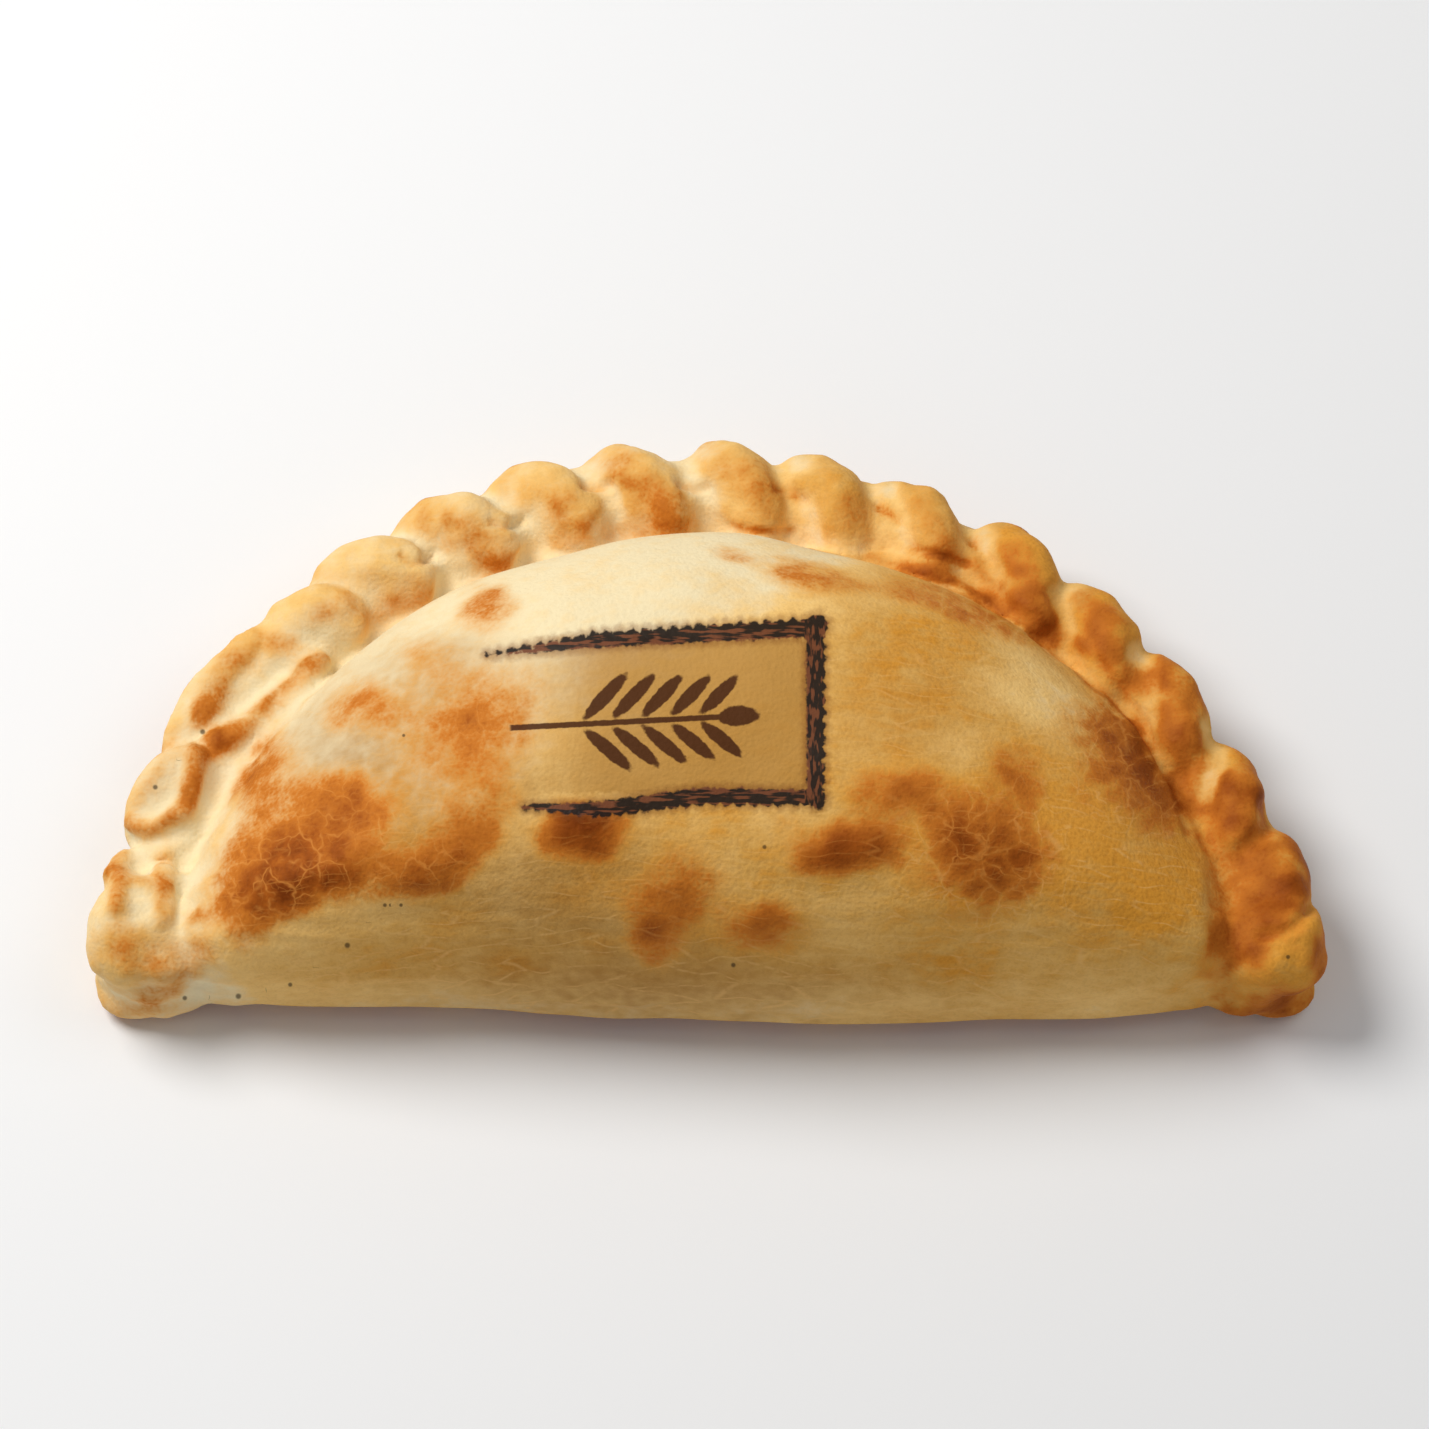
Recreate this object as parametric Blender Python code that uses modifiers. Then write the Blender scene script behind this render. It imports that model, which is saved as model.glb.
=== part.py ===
"""A baked half-moon empanada, modelled as one solid that lies on its flat underside.

X runs along the straight fold, -Y is the fold side, +Y the twisted rim, +Z is up.
The pocket is a sphere reshaped to a domed half-moon, and a flat band of pressed
dough joins it to the rim. The rim is a row of pleats: each is a fat strand that
starts at the outer edge, climbs over the rim and dives into the valley in front
of the dome, leaning to the right as it goes. All of them are fused, softened and
thinned out to one closed skin. The origin is under the middle of the object.
"""
import math
from dataclasses import dataclass
from functools import partial
from itertools import product

import bmesh
import bpy
from mathutils import Vector

MM = 0.001

# Driving sizes of the whole
NAME = "empanada"
LENGTH = 135.0 * MM
HEIGHT = 33.0 * MM

# The rim: its centreline is half an ellipse round the middle of the fold, a little
# leaner than a true one, and its back sways to the left
RIM_RADIUS = 6.6 * MM
RIM_HALF_LENGTH = 0.5 * LENGTH - RIM_RADIUS
RIM_DEPTH = 62.6 * MM
RIM_FULLNESS = 1.985
RIM_SWAY = 2.2 * MM
RIM_LEVEL = 6.8 * MM
RIM_CORE_RADIUS = 5.5 * MM
RIM_CORE_END_POWER = 0.18

# The pocket: the line where it meets the pressed band, and its fold, which is drawn
# in a little from the rim's middle and sags on the right
VALLEY_HALF_LENGTH = 59.3 * MM
VALLEY_DEPTH = 55.6 * MM
FOLD_INSET = 0.5 * MM
SAG = 2.0 * MM
SAG_PLACE = 18.0 * MM
SAG_REACH = 30.0 * MM
DOME_CENTRE_Y = 24.0 * MM
WAIST_AT_RIM = 6.5 * MM
WAIST_AT_FOLD = 10.0 * MM
WAIST_CHANGE = 1.2
TIP_TAPER = 0.42
TIP_TAPER_POWER = 3
BASE_PRESS = 1.1 * MM
CORNER_SHARPNESS = 14.0

# How square the dome and the base are: powers on the sphere's own radius and height
DOME_SPREAD = 0.86
DOME_RISE = 1.04
BASE_SPREAD = 0.36
BASE_RISE = 0.62

# The pressed band of dough between pocket and rim
BAND_TOP = 9.6 * MM
BAND_BOTTOM = 2.0 * MM
BAND_INSET = 0.6 * MM
BAND_SPREAD = 0.12
BAND_RISE = 0.45

# Fineness of the fused skin
VOXEL = 0.9 * MM
SMOOTH_FACTOR = 0.5
SMOOTH_PASSES = 4
TRIANGLE_BUDGET = 10400

# Segments and rings of the spheres that are reshaped
POCKET_FINENESS = (128, 64)
BAND_FINENESS = (96, 24)
CORE_FINENESS = (16, 96)
LUMP_FINENESS = (24, 16)
PLEAT_FINENESS = (20, 24)

# Matte baked dough
CRUST_COLOUR = (0.72, 0.42, 0.16, 1.0)
CRUST_ROUGHNESS = 0.68


@dataclass(frozen=True)
class Pleat:
    """One fold of the twisted rim.

    angle is its place on the rim in degrees, from the right tip (0) over the back (90)
    to the left tip (180). lean turns it from straight across (0) to along the rim (90).
    """

    angle: float
    lean: float
    length: float
    width: float
    thickness: float
    wrap: float = 72.0


# From the left tip over the back to the right tip. The second to the fourth are
# pinched flat, so each is an outer ridge and a thinner inner one with a trough between.
PLEATS = (
    Pleat(174.2, 80.0, 11.4 * MM, 13.4 * MM, 9.4 * MM),
    Pleat(168.6, 86.0, 9.0 * MM, 5.4 * MM, 7.4 * MM, 32.0),
    Pleat(169.2, 88.0, 9.4 * MM, 3.8 * MM, 5.4 * MM, 124.0),
    Pleat(168.4, 4.0, 10.0 * MM, 3.6 * MM, 5.0 * MM, 86.0),
    Pleat(159.6, 66.0, 14.2 * MM, 10.0 * MM, 7.6 * MM, 54.0),
    Pleat(157.2, 94.0, 12.5 * MM, 3.6 * MM, 5.0 * MM, 124.0),
    Pleat(147.2, 86.0, 19.5 * MM, 5.8 * MM, 8.4 * MM, 30.0),
    Pleat(146.0, 97.0, 19.5 * MM, 4.2 * MM, 5.6 * MM, 128.0),
    Pleat(135.4, 42.0, 15.5 * MM, 9.4 * MM, 6.0 * MM, 74.0),
    Pleat(127.0, 46.0, 18.5 * MM, 10.6 * MM, 6.0 * MM, 78.0),
    Pleat(116.5, 40.0, 18.5 * MM, 10.8 * MM, 6.0 * MM, 80.0),
    Pleat(106.0, 36.0, 18.5 * MM, 10.4 * MM, 6.6 * MM, 80.0),
    Pleat(95.8, 32.0, 18.5 * MM, 10.2 * MM, 7.2 * MM, 80.0),
    Pleat(85.2, 32.0, 18.5 * MM, 10.2 * MM, 7.4 * MM, 80.0),
    Pleat(75.6, 34.0, 18.5 * MM, 9.8 * MM, 7.2 * MM, 80.0),
    Pleat(65.4, 38.0, 18.0 * MM, 10.0 * MM, 7.2 * MM, 78.0),
    Pleat(54.2, 46.0, 18.0 * MM, 10.6 * MM, 7.2 * MM, 78.0),
    Pleat(43.4, 54.0, 17.0 * MM, 9.8 * MM, 7.0 * MM, 76.0),
    Pleat(32.4, 60.0, 16.5 * MM, 9.6 * MM, 7.0 * MM, 76.0),
    Pleat(20.8, 66.0, 16.0 * MM, 9.6 * MM, 7.4 * MM, 74.0),
    Pleat(11.6, 74.0, 13.8 * MM, 10.8 * MM, 9.0 * MM, 58.0),
    Pleat(5.2, 80.0, 11.4 * MM, 13.2 * MM, 9.4 * MM),
)

# The roll of dough that stands between the rim and the dome at the back right
ROLL = Pleat(56.0, 90.0, 34.0 * MM, 5.6 * MM, 6.0 * MM, 140.0)

# The two tips of the fold, pressed down on the tray, the cheek that joins each tip to
# the pleat above it, and the thin foot under each
TIP_PLACE = Vector((60.2, 5.4, 4.2)) * MM
TIP_RADII = Vector((7.2, 5.6, 4.6)) * MM
CHEEK_PLACE = Vector((60.6, 4.4, 7.6)) * MM
CHEEK_RADII = Vector((6.2, 4.4, 4.6)) * MM
FOOT_PLACE = Vector((63.4, 3.6, 2.0)) * MM
FOOT_RADII = Vector((4.6, 3.5, 2.2)) * MM

# Where a pleat lies on the rim, and how much thicker its right edge is than its left
PLEAT_CENTRE_RADIUS = 3.7 * MM
PLEAT_INWARD_STRETCH = 1.75
PLEAT_TILT = 20.0
PLEAT_SQUARENESS = 0.35
PLEAT_BLUNTNESS = 0.45
PLEAT_POLE = 0.9999


def signed_power(value, power):
    """Raise the size of a value to a power and keep its sign."""
    return math.copysign(abs(value) ** power, value)


def blend(start, end, amount):
    """Go from start to end as amount goes from 0 to 1, easing at both ends."""
    amount = min(max(amount, 0.0), 1.0)
    return start + (end - start) * amount * amount * (3.0 - 2.0 * amount)


def half_moon_reach(angle, half_length, depth, inset):
    """Distance from the dome's middle to the edge of a half-moon, in one direction.

    The half-moon is an ellipse round the middle of the fold, cut along the fold. The
    fold is a straight line at inset with a soft hill where the dough sags. A high
    power mean of the two distances rounds the tips.
    """
    across, along = math.cos(angle), math.sin(angle)
    a = (across / half_length) ** 2 + (along / depth) ** 2
    b = 2.0 * DOME_CENTRE_Y * along / depth ** 2
    c = (DOME_CENTRE_Y / depth) ** 2 - 1.0
    to_arc = (-b + math.sqrt(b * b - 4.0 * a * c)) / (2.0 * a)
    if along >= 0.0:
        return to_arc
    straight = DOME_CENTRE_Y - inset
    to_fold = straight / -along
    sagging = SAG * math.exp(-((to_fold * across - SAG_PLACE) / SAG_REACH) ** 2)
    to_fold *= 1.0 + sagging / straight
    return (to_arc ** -CORNER_SHARPNESS + to_fold ** -CORNER_SHARPNESS) ** (-1.0 / CORNER_SHARPNESS)


def pocket_point(unit):
    """Place a point of the unit sphere on the pocket."""
    angle = math.atan2(unit.y, unit.x)
    flat = math.hypot(unit.x, unit.y)
    reach = half_moon_reach(angle, VALLEY_HALF_LENGTH, VALLEY_DEPTH, FOLD_INSET)
    waist = blend(WAIST_AT_RIM, WAIST_AT_FOLD, 0.5 - WAIST_CHANGE * math.sin(angle))
    if unit.z >= 0.0:
        out = reach * flat ** DOME_SPREAD
        taper = 1.0 - TIP_TAPER * abs(out * math.cos(angle) / VALLEY_HALF_LENGTH) ** TIP_TAPER_POWER
        level = waist + (HEIGHT - waist) * taper * unit.z ** DOME_RISE
    else:
        out = reach * flat ** BASE_SPREAD
        level = waist - (waist + BASE_PRESS) * (-unit.z) ** BASE_RISE
    return Vector((out * math.cos(angle), DOME_CENTRE_Y + out * math.sin(angle), level))


def band_point(unit):
    """Place a point of the unit sphere on the pressed band of dough."""
    angle = math.atan2(unit.y, unit.x)
    flat = math.hypot(unit.x, unit.y)
    out = half_moon_reach(angle, RIM_HALF_LENGTH, RIM_DEPTH, BAND_INSET) * flat ** BAND_SPREAD
    level = 0.5 * (BAND_TOP + BAND_BOTTOM)
    level += 0.5 * (BAND_TOP - BAND_BOTTOM) * signed_power(unit.z, BAND_RISE)
    return Vector((out * math.cos(angle), DOME_CENTRE_Y + out * math.sin(angle), level))


def rim_frame(angle):
    """Centre of the rim at an angle, with its outward and clockwise directions."""
    across = signed_power(math.cos(angle), 2.0 / RIM_FULLNESS)
    along = signed_power(math.sin(angle), 2.0 / RIM_FULLNESS)
    sway = RIM_SWAY * along * along
    centre = Vector((RIM_HALF_LENGTH * across - sway, RIM_DEPTH * along, RIM_LEVEL))
    onward = Vector((RIM_HALF_LENGTH * math.sin(angle), -RIM_DEPTH * math.cos(angle), 0.0))
    onward.normalize()
    outward = Vector((-onward.y, onward.x, 0.0))
    return centre, outward, onward


def core_point(unit):
    """Place a point of the unit sphere on the tube that runs inside the rim."""
    place = math.asin(max(-1.0, min(1.0, unit.x)))
    round_off = math.cos(place) ** RIM_CORE_END_POWER
    centre, outward, _ = rim_frame(0.5 * math.pi - place)
    spin = math.atan2(unit.z, unit.y)
    around = math.cos(spin) * outward + math.sin(spin) * Vector((0.0, 0.0, 1.0))
    return centre + RIM_CORE_RADIUS * round_off * around


def pleat_point(pleat, unit):
    """Place a point of the unit sphere on a pleat, whose long axis was the sphere's X."""
    up = Vector((0.0, 0.0, 1.0))
    lean = math.radians(pleat.lean)
    travel = 0.5 * pleat.length * unit.x
    angle = math.radians(pleat.angle) - travel * math.sin(lean) / RIM_DEPTH
    turn = math.radians(pleat.wrap) + travel * math.cos(lean) / RIM_RADIUS
    centre, outward, onward = rim_frame(angle)
    away = math.cos(turn) * outward + math.sin(turn) * up
    over = math.cos(turn) * up - math.sin(turn) * outward
    side = math.cos(lean) * onward - math.sin(lean) * over
    tilt = math.radians(PLEAT_TILT)
    wide = math.cos(tilt) * side + math.sin(tilt) * away
    thick = math.cos(tilt) * away - math.sin(tilt) * side
    at_pole = abs(unit.x) > PLEAT_POLE
    fullness = 0.0 if at_pole else math.hypot(unit.y, unit.z) ** -PLEAT_SQUARENESS
    stretch = PLEAT_INWARD_STRETCH if math.cos(turn) < 0.0 else 1.0
    spine = centre + PLEAT_CENTRE_RADIUS * (stretch * math.cos(turn) * outward + math.sin(turn) * up)
    thickness = pleat.thickness * (1.0 + PLEAT_BLUNTNESS * unit.y)
    return spine + fullness * (0.5 * pleat.width * unit.y * wide + 0.5 * thickness * unit.z * thick)


def reshaped_sphere(name, fineness, place):
    """Make a mesh object from a unit sphere whose points are moved by place."""
    segments, rings = fineness
    shape = bmesh.new()
    bmesh.ops.create_uvsphere(shape, u_segments=segments, v_segments=rings, radius=1.0)
    for vertex in shape.verts:
        vertex.co = place(vertex.co)
    bmesh.ops.recalc_face_normals(shape, faces=shape.faces)
    mesh = bpy.data.meshes.new(name)
    shape.to_mesh(mesh)
    shape.free()
    return bpy.data.objects.new(name, mesh)


def end_point(side, place, radii, unit):
    """Place a point of the unit sphere on a lump at the left (-1) or right (1) end of the fold."""
    reach = Vector((radii.x * unit.x, radii.y * unit.y, radii.z * unit.z))
    return Vector((side * place.x, place.y, place.z)) + reach


def sphere_along_x(place):
    """Let place read a sphere whose poles lie on the X axis."""
    return lambda co: place(Vector((co.z, co.x, co.y)))


def build_lumps(lumps):
    """Make every piece of dough that is fused into the rim."""
    lumps.objects.link(reshaped_sphere("band", BAND_FINENESS, band_point))
    lumps.objects.link(reshaped_sphere("rim_core", CORE_FINENESS, sphere_along_x(core_point)))
    ends = {
        "tip": (TIP_PLACE, TIP_RADII),
        "cheek": (CHEEK_PLACE, CHEEK_RADII),
        "foot": (FOOT_PLACE, FOOT_RADII),
    }
    for side, (name, sizes) in product((-1.0, 1.0), ends.items()):
        lumps.objects.link(reshaped_sphere(name, LUMP_FINENESS, partial(end_point, side, *sizes)))
    for number, pleat in enumerate(PLEATS + (ROLL,)):
        place = sphere_along_x(partial(pleat_point, pleat))
        lumps.objects.link(reshaped_sphere(f"pleat_{number}", PLEAT_FINENESS, place))


def apply_modifiers(thing):
    """Replace an object's mesh by the one its modifiers make."""
    evaluated = thing.evaluated_get(bpy.context.evaluated_depsgraph_get())
    mesh = bpy.data.meshes.new_from_object(evaluated)
    thing.modifiers.clear()
    thing.data = mesh


def fuse(thing, lumps):
    """Join the lumps to the object and remove them."""
    union = thing.modifiers.new("fuse", "BOOLEAN")
    union.operation = "UNION"
    union.operand_type = "COLLECTION"
    union.collection = lumps
    union.solver = "EXACT"
    apply_modifiers(thing)
    for lump in list(lumps.objects):
        bpy.data.objects.remove(lump)
    bpy.data.collections.remove(lumps)


def soften(thing):
    """Turn the fused pieces into one even skin of dough, then thin it out."""
    skin = thing.modifiers.new("skin", "REMESH")
    skin.mode = "VOXEL"
    skin.voxel_size = VOXEL
    smooth = thing.modifiers.new("smooth", "SMOOTH")
    smooth.factor = SMOOTH_FACTOR
    smooth.iterations = SMOOTH_PASSES
    apply_modifiers(thing)
    faces = sum(len(polygon.vertices) - 2 for polygon in thing.data.polygons)
    thin = thing.modifiers.new("thin", "DECIMATE")
    thin.ratio = TRIANGLE_BUDGET / faces
    apply_modifiers(thing)


def press_base(thing):
    """Cut the underside flat at the level of the tray."""
    shape = bmesh.new()
    shape.from_mesh(thing.data)
    everything = shape.verts[:] + shape.edges[:] + shape.faces[:]
    bmesh.ops.bisect_plane(shape, geom=everything, dist=1e-7, plane_co=(0, 0, 0), plane_no=(0, 0, -1),
                           clear_outer=True)
    bmesh.ops.holes_fill(shape, edges=[edge for edge in shape.edges if edge.is_boundary], sides=0)
    bmesh.ops.triangulate(shape, faces=shape.faces[:])
    bmesh.ops.recalc_face_normals(shape, faces=shape.faces)
    shape.to_mesh(thing.data)
    shape.free()


def centre_on_origin(thing):
    """Move the skin so that the origin is under the middle of its box."""
    xs = [vertex.co.x for vertex in thing.data.vertices]
    ys = [vertex.co.y for vertex in thing.data.vertices]
    zs = [vertex.co.z for vertex in thing.data.vertices]
    shift = Vector((0.5 * (min(xs) + max(xs)), 0.5 * (min(ys) + max(ys)), min(zs)))
    for vertex in thing.data.vertices:
        vertex.co -= shift


def crust_material():
    """Make the one material."""
    crust = bpy.data.materials.new("baked_crust")
    crust.use_nodes = True
    shader = crust.node_tree.nodes["Principled BSDF"]
    shader.inputs["Base Color"].default_value = CRUST_COLOUR
    shader.inputs["Roughness"].default_value = CRUST_ROUGHNESS
    shader.inputs["Metallic"].default_value = 0.0
    return crust


def main():
    """Build the empanada."""
    for leftover in list(bpy.data.objects):
        bpy.data.objects.remove(leftover)
    parts = bpy.data.collections.new("chicken_empanada")
    lumps = bpy.data.collections.new("lumps")
    bpy.context.scene.collection.children.link(parts)
    bpy.context.scene.collection.children.link(lumps)
    body = reshaped_sphere(NAME, POCKET_FINENESS, pocket_point)
    parts.objects.link(body)
    build_lumps(lumps)
    fuse(body, lumps)
    soften(body)
    press_base(body)
    centre_on_origin(body)
    body.data.materials.clear()
    body.data.materials.append(crust_material())
    body.data.shade_smooth()


main()
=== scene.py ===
"""A baked chicken empanada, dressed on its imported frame.

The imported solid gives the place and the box. The dough here has the same form,
worked out from the same sizes: a domed pocket, a pressed band and a rim of
twisted pleats, fused to one fine skin. Its relief follows the baking: puffed
blisters, wrinkles along the fold and crusty crowns on the pleats. The finish
reads those places back from the mesh and adds the grain, cracks and scorching.
"""
import logging
import math
from collections.abc import Callable
from dataclasses import dataclass
from enum import Enum
from itertools import product
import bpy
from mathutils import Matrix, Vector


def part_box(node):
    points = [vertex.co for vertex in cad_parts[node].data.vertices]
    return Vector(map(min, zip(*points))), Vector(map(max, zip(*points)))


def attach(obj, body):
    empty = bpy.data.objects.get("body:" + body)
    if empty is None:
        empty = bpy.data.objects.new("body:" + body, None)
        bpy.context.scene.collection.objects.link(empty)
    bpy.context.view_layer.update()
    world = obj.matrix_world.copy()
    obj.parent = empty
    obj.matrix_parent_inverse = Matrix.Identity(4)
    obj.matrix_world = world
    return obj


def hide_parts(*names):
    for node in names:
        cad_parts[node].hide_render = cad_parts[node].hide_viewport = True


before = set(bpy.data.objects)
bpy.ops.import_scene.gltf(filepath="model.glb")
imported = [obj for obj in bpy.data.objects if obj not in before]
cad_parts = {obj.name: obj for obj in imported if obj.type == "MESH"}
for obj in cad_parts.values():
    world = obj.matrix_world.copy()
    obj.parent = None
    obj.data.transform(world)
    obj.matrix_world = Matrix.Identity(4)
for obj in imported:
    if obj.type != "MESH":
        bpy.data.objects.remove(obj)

from types import SimpleNamespace

import bpy
import numpy as np

MM = 0.001
NODE = "empanada"
BODY = "root"
UP = np.array([0.0, 0.0, 1.0])
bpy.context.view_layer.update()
BOX = np.array(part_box(NODE))
Array = np.ndarray
Place = tuple[float, float, float]
Socket = bpy.types.NodeSocket

logging.basicConfig(level=logging.INFO, format="%(message)s")
log = logging.getLogger("empanada")


def ease(values: Array, low: float, high: float) -> Array:
    """Rise smoothly from 0 at low to 1 at high."""
    part = np.clip((values - low) / (high - low), 0.0, 1.0)
    return part * part * (3.0 - 2.0 * part)


def hill(values: Array, middle: float, reach: float) -> Array:
    """A smooth hill of height 1 at middle that is nearly flat two reaches away."""
    return np.exp(-((values - middle) / reach) ** 2)


def signed_power(values: Array, power: float) -> Array:
    """Raise the size of each value to a power and keep its sign."""
    return np.sign(values) * np.abs(values) ** power


def floor_middle(low: Array, high: Array) -> Array:
    """The middle of the floor of a box with these corners."""
    return np.append(0.5 * (low + high)[:2], low[2])


def add_object(name: str, data: bpy.types.ID) -> bpy.types.Object:
    """Add an object to the scene."""
    added = bpy.data.objects.new(name, data)
    bpy.context.scene.collection.objects.link(added)
    return added


class Noise:
    """Smooth noise on a repeating lattice, for whole arrays of points."""

    SIZE = 24
    LAYER_SHIFT = 7.3

    def __init__(self, seed: int) -> None:
        """Draw the lattice's values from a seed."""
        self.values = np.random.default_rng(seed).uniform(-1.0, 1.0, (self.SIZE,) * 3)

    def at(self, points: Array, grain: float, layers: int = 1) -> Array:
        """Noise between about -1 and 1.

        Args:
            points: places in metres, one row each.
            grain: size of the coarsest lumps in metres.
            layers: how many times the lumps are halved and added.

        Returns:
            One value for each point.
        """
        total = np.zeros(len(points))
        for layer in range(layers):
            scaled = points / grain * 2.0 ** layer + self.LAYER_SHIFT * layer
            cell = np.floor(scaled).astype(int)
            part = scaled - cell
            part = part * part * (3.0 - 2.0 * part)
            for corner in product((0, 1), repeat=3):
                weight = np.prod(np.where(corner, part, 1.0 - part), axis=1)
                total += weight * self.values[tuple(((cell + corner) % self.SIZE).T)] * 0.5 ** layer
        return total


@dataclass(frozen=True)
class Ball:
    """A ball of grid faces, whose poles lie on the X axis."""

    rings: int
    segments: int

    def points(self) -> Array:
        """Unit points: the pole at +X, the rings towards -X, and the last pole."""
        tilt = np.linspace(0.0, math.pi, self.rings + 2)[1:-1, None]
        spin = np.linspace(0.0, 2.0 * math.pi, self.segments, endpoint=False)[None, :]
        flat = np.sin(tilt)
        rings = np.stack([np.cos(tilt) + 0.0 * spin, flat * np.cos(spin), flat * np.sin(spin)], -1)
        return np.vstack([[[1.0, 0.0, 0.0]], rings.reshape(-1, 3), [[-1.0, 0.0, 0.0]]])

    def faces(self, first: int) -> list[tuple[int, ...]]:
        """Faces pointing out, for points that are numbered from first."""
        here = first + 1 + np.arange(self.rings * self.segments).reshape(self.rings, self.segments)
        beside = np.roll(here, -1, axis=1)
        quads = np.stack([here[:-1], here[1:], beside[1:], beside[:-1]], -1).reshape(-1, 4)
        last = first + 1 + self.rings * self.segments
        start_fan = np.stack([np.full(self.segments, first), here[0], beside[0]], -1)
        end_fan = np.stack([np.full(self.segments, last), beside[-1], here[-1]], -1)
        return quads.tolist() + start_fan.tolist() + end_fan.tolist()


@dataclass(frozen=True)
class Pleat:
    """One fold of the twisted rim.

    angle is its place on the rim in degrees, from the right tip (0) over the back
    (90) to the left tip (180). lean turns it from straight across (0) to along the
    rim (90), and wrap is where its middle lies round the rim, from outside (0) over
    the top (90). toast is how brown its crown is baked.
    """

    angle: float
    lean: float
    length: float
    width: float
    thickness: float
    wrap: float
    toast: float


# From the left tip to the right, and last a roll behind the dome. Lengths in millimetres
PLEATS = tuple(
    Pleat(angle, lean, length * MM, width * MM, thickness * MM, wrap, toast)
    for angle, lean, length, width, thickness, wrap, toast in (
        (174.2, 80, 11.4, 13.4, 9.4, 72, 0.55), (168.6, 86, 9, 5.4, 7.4, 32, 0.5),
        (169.2, 88, 9.4, 3.8, 5.4, 124, 0.5), (168.4, 4, 10, 3.6, 5, 86, 0.4),
        (159.6, 66, 14.2, 10, 7.6, 54, 0.35), (157.2, 94, 12.5, 3.6, 5, 124, 0.4),
        (147.2, 86, 19.5, 5.8, 8.4, 30, 0.5), (146, 97, 19.5, 4.2, 5.6, 128, 0.45),
        (135.4, 42, 15.5, 9.4, 6, 74, 0.15), (127, 46, 18.5, 10.6, 6, 78, 0.3),
        (116.5, 40, 18.5, 10.8, 6, 80, 0.45), (106, 36, 18.5, 10.4, 6.6, 80, 0.5),
        (95.8, 32, 18.5, 10.2, 7.2, 80, 0.5), (85.2, 32, 18.5, 10.2, 7.4, 80, 0.45),
        (75.6, 34, 18.5, 9.8, 7.2, 80, 0.5), (65.4, 38, 18, 10, 7.2, 78, 0.55),
        (54.2, 46, 18, 10.6, 7.2, 78, 0.6), (43.4, 54, 17, 9.8, 7, 76, 0.55),
        (32.4, 60, 16.5, 9.6, 7, 76, 0.6), (20.8, 66, 16, 9.6, 7.4, 74, 0.6),
        (11.6, 74, 13.8, 10.8, 9, 58, 0.75), (5.2, 80, 11.4, 13.2, 9.4, 72, 0.6),
        (56, 90, 34, 5.6, 6, 140, 0.75),
    )
)


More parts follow.
